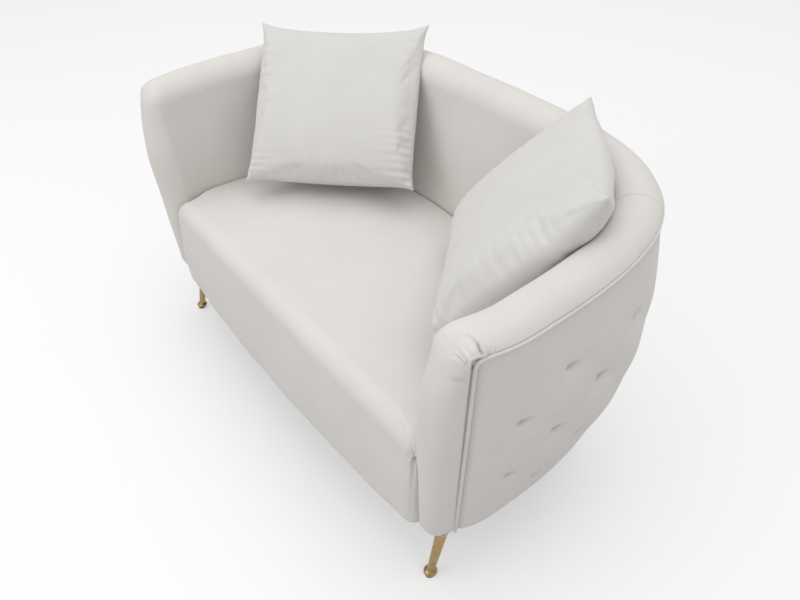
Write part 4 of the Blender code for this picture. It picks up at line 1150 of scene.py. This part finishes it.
@dataclass
class ScatterCushion:
    """Loose square cushion with a knife-edge seam, leaning in a rear corner."""

    side: Side
    place: tuple[float, float, float]
    lean: float
    yaw: float
    roll: float
    seed: int
    spread: float = 0.0
    thickness: float = 0.170
    size: float = 0.460
    squeeze: float = 0.945
    slump: float = 0.28
    bend: float = 0.040
    pull: float = 0.040
    blunt: float = 0.014
    sewn: float = 0.44
    crown: float = 0.46
    pucker: float = 0.0036
    pucker_reach: float = 0.040
    steps: int = 84
    pressure: float = 4.0
    frames: int = 20
    cap: float = 0.012
    clear: float = 0.0015
    clear_seat: float = 0.0016
    fill: float = 0.7
    wall: Wall = WALL
    seat: Seat = SEAT

    def drawn_in(self, along: Points) -> Points:
        """Share of the half width that a seam keeps at a place along it, -1 to 1: all at the corners."""
        return 1.0 - self.pull * (1.0 - np.abs(along) ** 7)

    def cover(self) -> Piece:
        """Makes the cushion's sewn cover: two crowned faces that meet in a seam drawn in between the corners.

        With u and v from -1 to 1 and h half the size, x = h u (1 - pull (1 - |v| ** 7) - blunt (u v) ** 10),
        z likewise, and each face stands out by sewn thickness ((1 - u ** 2) (1 - v ** 2)) ** crown.
        """
        even = np.linspace(-1.0, 1.0, self.steps + 1)
        u = 0.35 * np.sin(even * math.pi / 2) + 0.65 * even
        across, up = np.meshgrid(u, u, indexing="ij")
        half = self.size / 2
        crown = (unit(1.0 - across ** 2) * unit(1.0 - up ** 2)) ** self.crown
        tip = self.blunt * (across * up) ** 10
        faces = []
        for way in (-self.sewn, self.sewn):
            points = np.stack([half * across * (self.drawn_in(up) - tip), way * self.thickness * crown,
                               half * up * (self.drawn_in(across) - tip)], axis=-1)
            faces.append(Patch(points, np.zeros(3)))
        return make_piece(self.side.label + "_cushion", faces)

    def gathers(self, across: Points, up: Points) -> Points:
        """Short gathers that run in from the four seams: uneven waves along each that die away inwards.

        Args:
            across: Places across the cushion, -1 to 1.
            up: Places up the cushion, -1 to 1.

        Returns:
            Heights.
        """
        draw = np.random.default_rng(self.seed)
        u, v = across / self.drawn_in(up), up / self.drawn_in(across)
        height = np.zeros(len(across))
        for edge, along in ((u, up), (-u, up), (v, across), (-v, across)):
            pace = draw.uniform(36.0, 88.0, 5)
            waves = np.sin(along[:, None] * pace + draw.uniform(0.0, 2.0 * np.pi, 5)).sum(axis=1) / 2.2
            often = 0.55 + 0.45 * np.sin(along * draw.uniform(3.0, 6.0) + draw.uniform(0.0, 6.0))
            inside = np.clip(self.size / 2 * (1.0 - edge), 0.0, None)
            height += waves * often * np.exp(-inside / self.pucker_reach) * (1.0 - np.exp(-inside / 0.008))
        return self.pucker * height

    def turn(self) -> Points:
        """Turning of the cushion: rolled in its own plane, leant back and turned into its corner."""
        return turning(2, -self.side.value * self.yaw) @ turning(0, -self.lean) @ turning(1, self.roll)

    def pose(self, points: Points) -> Points:
        """Brings the filled cover to its size, slumps and bends it, and turns it into its corner.

        Args:
            points: Points of the filled cover about its middle.

        Returns:
            Points in place.
        """
        span = points.max(axis=0) - points.min(axis=0)
        across, up = 2.0 * points[:, 0] / span[0], 2.0 * points[:, 2] / span[2]
        half = self.size / 2
        fold = self.gathers(across, up) * np.tanh(points[:, 1] / 0.004)
        depth = points[:, 1] * self.thickness / span[1] + fold
        depth = depth * (1.0 - self.slump * up) - self.bend * across ** 2
        wide = half * across + self.spread * unit(across) ** 2 * (1.0 - up ** 2)
        shaped = np.stack([wide, depth, half * (self.squeeze * (up - 1.0) + 1.0)], axis=1)
        return shaped @ self.turn().T + np.array(self.place)

    def keep_clear(self, points: Points) -> Points:
        """Moves points out of the roll, the wall and the seat to just outside their faces.

        Args:
            points: Points in place.

        Returns:
            Points that stay clear.
        """
        wall = self.wall
        half_way = wall.length / 2
        s = spaced(0.0, half_way, 0.006) + (half_way if self.side is Side.RIGHT else 0.0)
        line = wall.point(s, 0.0, wall.centre(s))
        gap = np.linalg.norm(points[:, None, :] - line[None], axis=2)
        best = np.argmin(gap, axis=1)
        row = np.arange(len(points))
        away = points - line[best]
        short = np.maximum(wall.roll + self.clear - gap[row, best], 0.0)
        points = points + away / gap[row, best][:, None] * short[:, None]
        out = wall.outward(s)[best, :2]
        offset = np.sum((points[:, :2] - line[best][:, :2]) * out, axis=1)
        face = wall.inside(s[best], points[:, 2]) - self.clear
        below = points[:, 2] < line[best][:, 2]
        over = np.where(below, np.maximum(offset - face, 0.0), 0.0)
        points[:, :2] -= out * over[:, None]
        floor = self.seat.level(points[:, 0], points[:, 1]) + self.clear_seat
        points[:, 2] = np.maximum(points[:, 2], floor)
        return points

    def build(self) -> Piece:
        """Makes the cushion: sews, fills, poses and smooths it."""
        piece = self.cover()
        inflate(piece, self.pressure, self.frames, self.cap)
        write_points(piece, self.keep_clear(self.pose(read_points(piece))))
        finer = piece.modifiers.new("smooth", "SUBSURF")
        finer.levels = 1
        finer.render_levels = 1
        return piece

    def dress(self, piece: Piece, velvet: Material) -> None:
        """Puts the white velvet on and lets the cushion ride on its own body."""
        body = Body.LEFT_CUSHION if self.side is Side.LEFT else Body.RIGHT_CUSHION
        settle(piece, body, Slot.WHITE_VELVET, velvet, self.side.label + "_scatter_cushion")


@dataclass
class Leg:
    """Turned brass leg with a flattened ball foot, splayed from its plate."""

    name: str
    foot: tuple[float, float]
    away: tuple[float, float]
    splay: float = 0.034
    top: float = 0.1536
    base: float = 0.0033
    top_radius: float = 0.0135
    ankle_radius: float = 0.0085
    foot_radius: float = 0.015
    foot_height: float = 0.015
    collar: float = 0.0012
    collar_reach: float = 0.004
    sides: int = 40

    def build(self) -> Piece:
        """Makes the leg: its profile turned about the upright and then sheared to its splay."""
        ankle = self.base + self.foot_height
        swing = np.linspace(0.0, math.pi, 22)
        ball_r = np.maximum(self.foot_radius * np.sin(swing) ** 0.8, 0.0)
        ball_z = self.base + self.foot_height * (0.5 - 0.5 * np.cos(swing))
        neck = ball_r > self.ankle_radius
        keep = neck | (ball_z < self.base + 0.5 * self.foot_height)
        share = np.linspace(0.0, 1.0, 40)
        shaft_z = ankle + (self.top - ankle) * share
        collar = self.collar * np.exp(-((shaft_z - ankle) / self.collar_reach) ** 2)
        shaft_r = self.ankle_radius + (self.top_radius - self.ankle_radius) * share + collar
        radius = np.concatenate([ball_r[keep], shaft_r, [self.top_radius - 0.0006, 0.0]])[:, None]
        height = np.concatenate([ball_z[keep], shaft_z, [self.top + 0.0004, self.top + 0.0004]])[:, None]
        turn = np.linspace(0.0, 2.0 * np.pi, self.sides + 1)[None, :-1]
        shift = -self.splay * height / self.top
        x = self.foot[0] + self.away[0] * shift
        y = self.foot[1] + self.away[1] * shift
        ring_x, ring_y = x + radius * np.cos(turn), y + radius * np.sin(turn)
        points = np.stack([ring_x, ring_y, height + 0.0 * turn], axis=-1)
        axis = np.stack([x, y, height], axis=-1)
        return make_piece(self.name + "_turned", [Patch(points, axis, wrap=True)])

    def dress(self, piece: Piece, brass: Material) -> None:
        """Puts the brass on the leg."""
        settle(piece, Body.SOFA, Slot.BRASS, brass, self.name)


def rgba(colour: Colour) -> tuple[float, float, float, float]:
    """The colour with full cover."""
    return (*colour, 1.0)


def output_of(value: object) -> object:
    """A node's first output, or the value itself where it isn't a node."""
    return value.outputs[0] if isinstance(value, Node) else value


def add_node(tree: Tree, kind: str, values: dict | None = None, **settings: object) -> Node:
    """Adds a node with its settings, and sets or links its inputs.

    Args:
        tree: Tree that takes the node.
        kind: Blender's name of the node, without ShaderNode in front.
        values: A value, an output socket or a node for each input, by its name or number.
        **settings: Properties of the node.

    Returns:
        The new node.
    """
    node = tree.nodes.new("ShaderNode" + kind)
    for key, value in settings.items():
        setattr(node, key, value)
    for key, value in (values or {}).items():
        value = output_of(value)
        if isinstance(value, bpy.types.NodeSocket):
            tree.links.new(value, node.inputs[key])
        else:
            node.inputs[key].default_value = value
    return node


def add_math(tree: Tree, operation: str, *values: object) -> Node:
    """Adds a Math node with its inputs in order."""
    return add_node(tree, "Math", dict(enumerate(values)), operation=operation)


def add_mix(tree: Tree, factor: object, low: object, high: object) -> bpy.types.NodeSocket:
    """Adds a mix of two colours and returns its colour output."""
    return add_node(tree, "Mix", {"Factor": factor, 6: low, 7: high}, data_type="RGBA").outputs[2]


def add_noise(tree: Tree, place: object, *values: object) -> Node:
    """Adds a noise at a place, with its scale, detail and roughness, and a distortion if there is one."""
    labels = ("Vector", "Scale", "Detail", "Roughness", "Distortion")
    return add_node(tree, "TexNoise", dict(zip(labels, (place, *values))))


def new_group(name: str, **inputs: object) -> tuple[Tree, bpy.types.NodeOutputs]:
    """Makes a shader group with a Place input and further inputs.

    Args:
        name: Name of the group.
        **inputs: Default of each further input: a number, three parts of a vector or four of a colour.

    Returns:
        The group's tree, and the sockets that its inputs come out of.
    """
    group = bpy.data.node_groups.new(name, "ShaderNodeTree")
    group.interface.new_socket(name="Place", in_out="INPUT", socket_type="NodeSocketVector")
    for label, value in inputs.items():
        kind = {1: "Float", 3: "Vector", 4: "Color"}[np.size(value)]
        socket = group.interface.new_socket(name=label, in_out="INPUT", socket_type="NodeSocket" + kind)
        socket.default_value = value
    return group, group.nodes.new("NodeGroupInput").outputs


def close_group(group: Tree, **outputs: object) -> Tree:
    """Gives a group its outputs.

    Args:
        group: The group's tree.
        **outputs: Node or socket for each output, of which Colour is a colour and the others are numbers.

    Returns:
        The group's tree.
    """
    for label in outputs:
        kind = "NodeSocketColor" if label == "Colour" else "NodeSocketFloat"
        group.interface.new_socket(name=label, in_out="OUTPUT", socket_type=kind)
    leave = group.nodes.new("NodeGroupOutput")
    for label, value in outputs.items():
        group.links.new(output_of(value), leave.inputs[label])
    return group


def grey(level: float) -> tuple[float, float, float, float]:
    """A grey with full cover."""
    return (level, level, level, 1.0)


GREY = grey(0.5)


class SharedEffects:
    """Shader groups that more than one finish uses, each built once."""

    @cached_property
    def nap(self) -> Tree:
        """Nap of velvet: broad brushed patches, finer strokes and the pile's own grain."""
        group, given = new_group("velvet_nap", Colour=GREY, Depth=0.05, Scale=7.0, Roughness=0.85)
        place = given["Place"]
        patch = add_noise(group, place, given["Scale"], 3.0, 0.5, 0.8)
        stretch = add_node(group, "VectorMath", {0: place, 1: (1.0, 1.0, 0.35)}, operation="MULTIPLY")
        stroke = add_noise(group, stretch, 60.0, 4.0, 0.6)
        pile = add_noise(group, place, 900.0, 2.0, 0.7)
        blend = add_math(group, "MULTIPLY_ADD", stroke, 0.35, patch)
        grain = add_math(group, "MULTIPLY_ADD", pile, 0.12, blend)
        centred = add_math(group, "SUBTRACT", grain, 0.735)
        depth = add_math(group, "MULTIPLY", centred, given["Depth"])
        shade = add_math(group, "ADD", depth, 1.0)
        tint = add_node(group, "VectorMath", {0: given["Colour"], "Scale": shade}, operation="SCALE")
        rough = add_math(group, "MULTIPLY_ADD", depth, -0.5, given["Roughness"])
        tall = add_math(group, "MULTIPLY_ADD", stroke, 0.5, pile)
        return close_group(group, Colour=tint, Roughness=rough, Height=tall)

    @cached_property
    def grain(self) -> Tree:
        """Grain of timber and board: stretched fibres with darker flecks, between two colours."""
        group, given = new_group("fibre_grain", Light=GREY, Dark=GREY, Scale=40.0, Stretch=(1.0, 1.0, 0.1))
        pull = add_node(group, "VectorMath", {0: given["Place"], 1: given["Stretch"]}, operation="MULTIPLY")
        fibre = add_noise(group, pull, given["Scale"], 6.0, 0.65, 0.4)
        spread = add_node(group, "MapRange", {"Value": fibre, "From Min": 0.3, "From Max": 0.7})
        return close_group(group, Colour=add_mix(group, spread, given["Dark"], given["Light"]), Height=fibre)

    @cached_property
    def weave(self) -> Tree:
        """Woven cloth: two crossing bands of threads, between two colours."""
        group, given = new_group("woven_threads", Light=GREY, Dark=GREY, Scale=160.0)
        values = {"Vector": given["Place"], "Scale": given["Scale"], "Distortion": 0.4}
        bands = [add_node(group, "TexWave", values, bands_direction=way).outputs["Fac"] for way in "XY"]
        cross = add_math(group, "MULTIPLY", *bands)
        return close_group(group, Colour=add_mix(group, cross, given["Dark"], given["Light"]), Height=cross)

    @cached_property
    def handling(self) -> Tree:
        """Marks of handling on metal and plastic: smudges in gloss and colour, fine spots in the relief."""
        group, given = new_group("handling_marks", Colour=GREY, Dull=GREY, Roughness=0.25)
        smudge = add_noise(group, given["Place"], 55.0, 5.0, 0.6)
        spots = add_noise(group, given["Place"], 420.0, 3.0, 0.7)
        limits = {"From Min": 0.45, "From Max": 0.75, "To Max": 0.55}
        dull = add_node(group, "MapRange", {"Value": smudge, **limits})
        rough = add_math(group, "MULTIPLY_ADD", dull, 0.30, given["Roughness"])
        colour = add_mix(group, dull, given["Colour"], given["Dull"])
        return close_group(group, Colour=colour, Roughness=rough, Height=spots)


EFFECTS = SharedEffects()


@dataclass(frozen=True)
class Finish:
    """A finish of the sofa: one Principled material with its pattern from a shared effect.

    Attributes:
        name: Name of the material.
        roughness: Roughness, which some of the effects vary.
        bump: Strength of the relief.
        relief: Depth of the relief in metres.
    """

    name: str
    roughness: float = 0.8
    bump: float = 0.3
    relief: float = 0.0004

    def shell(self, effect: Tree,
              **values: object) -> tuple[Material, Node, Node]:
        """Makes the material with the effect placed and linked to colour and relief.

        Args:
            effect: Shader group with a Place input and Colour and Height outputs.
            **values: Values of the group's other inputs.

        Returns:
            The material, its Principled node and the group's node.
        """
        material = bpy.data.materials.new(self.name)
        material.use_nodes = True
        tree = material.node_tree
        shader = tree.nodes["Principled BSDF"]
        place = add_node(tree, "TexCoord").outputs["Object"]
        pattern = add_node(tree, "Group", {"Place": place, **values}, node_tree=effect)
        relief = add_node(tree, "Bump", {"Strength": self.bump, "Distance": self.relief,
                                         "Height": pattern.outputs["Height"]})
        tree.links.new(pattern.outputs["Colour"], shader.inputs["Base Color"])
        tree.links.new(relief.outputs["Normal"], shader.inputs["Normal"])
        if "Roughness" in pattern.outputs:
            tree.links.new(pattern.outputs["Roughness"], shader.inputs["Roughness"])
        else:
            shader.inputs["Roughness"].default_value = self.roughness
        return material, shader, pattern


@dataclass(frozen=True)
class VelvetFinish(Finish):
    """Short-pile velvet with a brushed nap and a soft sheen, with painted shade that darkens it in pits and
    creases.
    """

    colour: Colour = (0.74, 0.71, 0.68)
    patch_depth: float = 0.10
    patch_scale: float = 7.0
    # Strength of the painted shade in pits and creases, and its darkest tone as a share of the colour.
    painted_shade: float = 0.75
    painted_shade_tone: float = 0.45
    sheen: float = 0.30
    sheen_roughness: float = 0.45
    sheen_tint: Colour = (1.0, 0.985, 0.97)
    gloss: float = 0.25

    def material(self) -> Material:
        """Makes the velvet."""
        material, shader, pattern = self.shell(EFFECTS.nap, Colour=rgba(self.colour), Depth=self.patch_depth,
                                               Scale=self.patch_scale, Roughness=self.roughness)
        tree = material.node_tree
        # Painted shade: the point attribute darkens the colour in pits and creases, standing in for their
        # shadow.
        noted = add_node(tree, "Attribute", attribute_name="painted_shade").outputs["Fac"]
        amount = add_math(tree, "MULTIPLY", noted, self.painted_shade)
        dark = rgba(tuple(self.painted_shade_tone * part for part in self.colour))
        tree.links.new(add_mix(tree, amount, pattern.outputs["Colour"], dark), shader.inputs["Base Color"])
        shader.inputs["Sheen Weight"].default_value = self.sheen
        shader.inputs["Sheen Roughness"].default_value = self.sheen_roughness
        shader.inputs["Sheen Tint"].default_value = rgba(self.sheen_tint)
        shader.inputs["Specular IOR Level"].default_value = self.gloss
        return material


@dataclass(frozen=True)
class GrainFinish(Finish):
    """Timber, board or foam: fibres between a light and a dark colour."""

    light: Colour = (0.7, 0.5, 0.3)
    dark: Colour = (0.5, 0.35, 0.2)
    scale: float = 40.0
    stretch: tuple[float, float, float] = (1.0, 1.0, 0.12)

    def material(self) -> Material:
        """Makes the material."""
        return self.shell(EFFECTS.grain, Light=rgba(self.light), Dark=rgba(self.dark), Scale=self.scale,
                          Stretch=self.stretch)[0]


@dataclass(frozen=True)
class WovenFinish(Finish):
    """Woven or bonded cloth: threads between a light and a dark colour."""

    light: Colour = (0.16, 0.16, 0.17)
    dark: Colour = (0.05, 0.05, 0.05)
    scale: float = 160.0

    def material(self) -> Material:
        """Makes the material."""
        return self.shell(EFFECTS.weave, Light=rgba(self.light), Dark=rgba(self.dark), Scale=self.scale)[0]


@dataclass(frozen=True)
class HandledFinish(Finish):
    """Metal or moulded plastic with marks of handling."""

    colour: Colour = (0.6, 0.44, 0.22)
    dull: Colour = (0.35, 0.25, 0.12)
    metallic: float = 1.0

    def material(self) -> Material:
        """Makes the material."""
        material, shader, _ = self.shell(EFFECTS.handling, Colour=rgba(self.colour), Dull=rgba(self.dull),
                                         Roughness=self.roughness)
        shader.inputs["Metallic"].default_value = self.metallic
        return material


IVORY = VelvetFinish("ivory_nap", 0.86, 0.25, 0.0006, (0.745, 0.715, 0.685), 0.10, 6.0)
WHITE = VelvetFinish("white_nap", 0.84, 0.25, 0.0006, (0.70, 0.685, 0.665), 0.09, 9.0)
BRASS = HandledFinish("aged_brass", 0.30, 0.15, 0.0002, (0.42, 0.30, 0.14), (0.22, 0.15, 0.07))
EVEN = (1.0, 1.0, 1.0)
CARRIED: dict[Slot, Finish] = {
    Slot.FOAM: GrainFinish("open_foam", 0.95, 0.6, 0.0010,
                           (0.84, 0.79, 0.60), (0.70, 0.63, 0.42), 260.0, EVEN),
    Slot.PLYWOOD: GrainFinish("birch_ply", 0.60, 0.2, 0.0004,
                              (0.72, 0.56, 0.38), (0.56, 0.40, 0.24), 60.0),
    Slot.BOARD: GrainFinish("hard_board", 0.80, 0.3, 0.0003,
                            (0.42, 0.31, 0.21), (0.28, 0.20, 0.13), 180.0, EVEN),
    Slot.WEBBING: WovenFinish("strap_weave", 0.90, 0.5, 0.0006,
                              (0.17, 0.17, 0.18), (0.05, 0.05, 0.05), 150.0),
    Slot.DUST_CLOTH: WovenFinish("dust_weave", 0.95, 0.4, 0.0003,
                                 (0.045, 0.045, 0.047), (0.015, 0.015, 0.016), 260.0),
    Slot.ZINC: HandledFinish("zinc_coat", 0.38, 0.2, 0.0002,
                             (0.62, 0.62, 0.61), (0.40, 0.40, 0.40)),
    Slot.GLIDE: HandledFinish("glide_nylon", 0.45, 0.2, 0.0002,
                              (0.035, 0.035, 0.036), (0.07, 0.07, 0.07), 0.0),
}


@dataclass
class CarriedNodes:
    """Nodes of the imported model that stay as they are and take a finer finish."""

    def dress(self) -> None:
        """Gives each node that still shows the finish of its slot."""
        made = {slot: finish.material() for slot, finish in CARRIED.items()}
        slot_of = {part["node"]: part["material_slot"] for part in frame["record"]["subparts"]}
        for name, node in frame["nodes"].items():
            slot = Slot(slot_of[name])
            if not node.hide_render and slot in made:
                node.data.materials.clear()
                node.data.materials.append(made[slot])
                LOG.info("%s keeps its solid with %s", name, made[slot].name)


@dataclass
class Studio:
    """Pale floor, soft light and the photograph's camera."""

    target: tuple[float, float, float] = (0.0573, -0.0106, 0.2769)
    azimuth: float = 52.90
    elevation: float = 38.54
    distance: float = 1.8037
    lens: float = 31.68
    floor_rings: tuple[float, ...] = (0.0, 1.5, 4.0, 9.0)
    floor_shown: float = 0.96
    floor_white: float = 0.45
    floor_thrown: float = 0.55
    world: float = 0.63
    overhead: float = 137.0
    front: float = 28.0
    right: float = 9.0
    aim: tuple[float, float, float] = (0.0, 0.0, 0.4)
    sensor: float = 36.0

    def camera(self) -> None:
        """Sets the camera at the photograph's viewing angle."""
        az, el = math.radians(self.azimuth), math.radians(self.elevation)
        back = Vector((math.sin(az) * math.cos(el), -math.cos(az) * math.cos(el), math.sin(el)))
        data = bpy.data.cameras.new("photo_camera")
        data.lens = self.lens
        data.sensor_width = self.sensor
        camera = bpy.data.objects.new("photo_camera", data)
        camera.location = Vector(self.target) + back * self.distance
        camera.rotation_euler = (-back).to_track_quat("-Z", "Y").to_euler()
        bpy.context.scene.collection.objects.link(camera)
        bpy.context.scene.camera = camera

    def part(self, tree: Tree, rays: tuple[str, str], thrown: Node, shown: Node, output: str) -> None:
        """Shows one shader to two kinds of rays, and lights the sofa with another.

        Args:
            tree: Tree of the material or world.
            rays: The two kinds of rays.
            thrown: Shader for all other rays.
            shown: Shader for those rays.
            output: Name of the tree's output node.
        """
        path = add_node(tree, "LightPath").outputs
        seen = add_math(tree, "MAXIMUM", *(path[ray] for ray in rays))
        mix = add_node(tree, "MixShader", {0: seen, 1: thrown, 2: shown})
        tree.links.new(mix.outputs[0], tree.nodes[output].inputs["Surface"])

    def floor(self) -> None:
        """Lays the floor: a wide disc that shows nearly white and throws back less light than it shows."""
        ring = np.array(self.floor_rings)[:, None]
        turn = np.linspace(0.0, 2.0 * np.pi, 65)[None, :-1]
        points = np.stack([ring * np.cos(turn), ring * np.sin(turn), 0.0 * ring * turn], axis=-1)
        piece = make_piece("floor", [Patch(points, np.array([0.0, 0.0, -1.0]), wrap=True)])
        material = bpy.data.materials.new("pale_floor")
        material.use_nodes = True
        tree = material.node_tree
        tree.nodes.remove(tree.nodes["Principled BSDF"])
        lit = add_node(tree, "BsdfDiffuse", {"Color": grey(self.floor_shown)})
        white = add_node(tree, "Emission", {"Color": grey(1.0), "Strength": 1.0})
        shown = add_node(tree, "MixShader", {0: self.floor_white, 1: lit, 2: white})
        thrown = add_node(tree, "BsdfDiffuse", {"Color": grey(self.floor_thrown)})
        self.part(tree, ("Is Camera Ray", "Is Glossy Ray"), thrown, shown, "Material Output")
        piece.data.materials.append(material)

    def surround(self) -> None:
        """Lights from all round with a plain world that shows white to the camera."""
        world = bpy.data.worlds.new("studio")
        world.use_nodes = True
        tree = world.node_tree
        shown = tree.nodes["Background"]
        shown.inputs["Color"].default_value = grey(1.0)
        light = add_node(tree, "Background", {"Color": grey(1.0), "Strength": self.world})
        self.part(tree, ("Is Camera Ray", "Is Transmission Ray"), light, shown, "World Output")
        bpy.context.scene.world = world

    def lamp(self, name: str, place: tuple[float, float, float], size: float, power: float) -> None:
        """Hangs a square soft lamp that faces the sofa.

        Args:
            name: Name of the lamp.
            place: Where it hangs.
            size: Side of the square.
            power: Power in watts.
        """
        data = bpy.data.lights.new(name, "AREA")
        data.size = size
        data.energy = power
        lamp = bpy.data.objects.new(name, data)
        lamp.location = place
        lamp.rotation_euler = (Vector(self.aim) - Vector(place)).to_track_quat("-Z", "Y").to_euler()
        bpy.context.scene.collection.objects.link(lamp)

    def build(self) -> None:
        """Sets up camera, floor, world and lamps."""
        self.camera()
        self.floor()
        self.surround()
        self.lamp("overhead", (-0.3, 0.3, 6.0), 7.0, self.overhead)
        self.lamp("front", (-0.6, -3.4, 2.4), 2.4, self.front)
        self.lamp("right", (3.4, -1.2, 1.8), 2.4, self.right)
        bpy.context.scene.view_settings.view_transform = "Standard"


def main() -> None:
    """Builds and dresses the sofa, piece by piece."""
    logging.basicConfig(level=logging.INFO, format="%(name)s: %(message)s")
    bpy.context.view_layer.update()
    Studio().build()
    ivory, white, brass = IVORY.material(), WHITE.material(), BRASS.material()
    cover = TubCover()
    cover.dress(cover.build(), ivory)
    outside = ButtonedOutside()
    outside.dress(outside.build(), outside.buttons(), ivory)
    welt = Welt()
    welt.dress(welt.build(), ivory)
    SEAT.dress(SEAT.build(), ivory)
    cushions = [
        ScatterCushion(Side.LEFT, (-0.341, 0.0868, 0.6157), math.radians(40.4), math.radians(39.7),
                       math.radians(-3.3), 21),
        ScatterCushion(Side.RIGHT, (0.3675, 0.0774, 0.6159), math.radians(38.6), math.radians(48.0),
                       math.radians(-3.0), 22, 0.030, 0.192),
    ]
    for cushion in cushions:
        cushion.dress(cushion.build(), white)
    legs = [
        Leg("left_front_leg", (-0.570, -0.319), (0.0, -1.0)),
        Leg("right_front_leg", (0.570, -0.319), (0.0, -1.0)),
        Leg("left_rear_leg", (-0.5087, 0.1919), (-0.9356, 0.3530)),
        Leg("right_rear_leg", (0.5087, 0.1919), (0.9356, 0.3530)),
    ]
    for leg in legs:
        leg.dress(leg.build(), brass)
    CarriedNodes().dress()


if __name__ == "__main__":
    main()
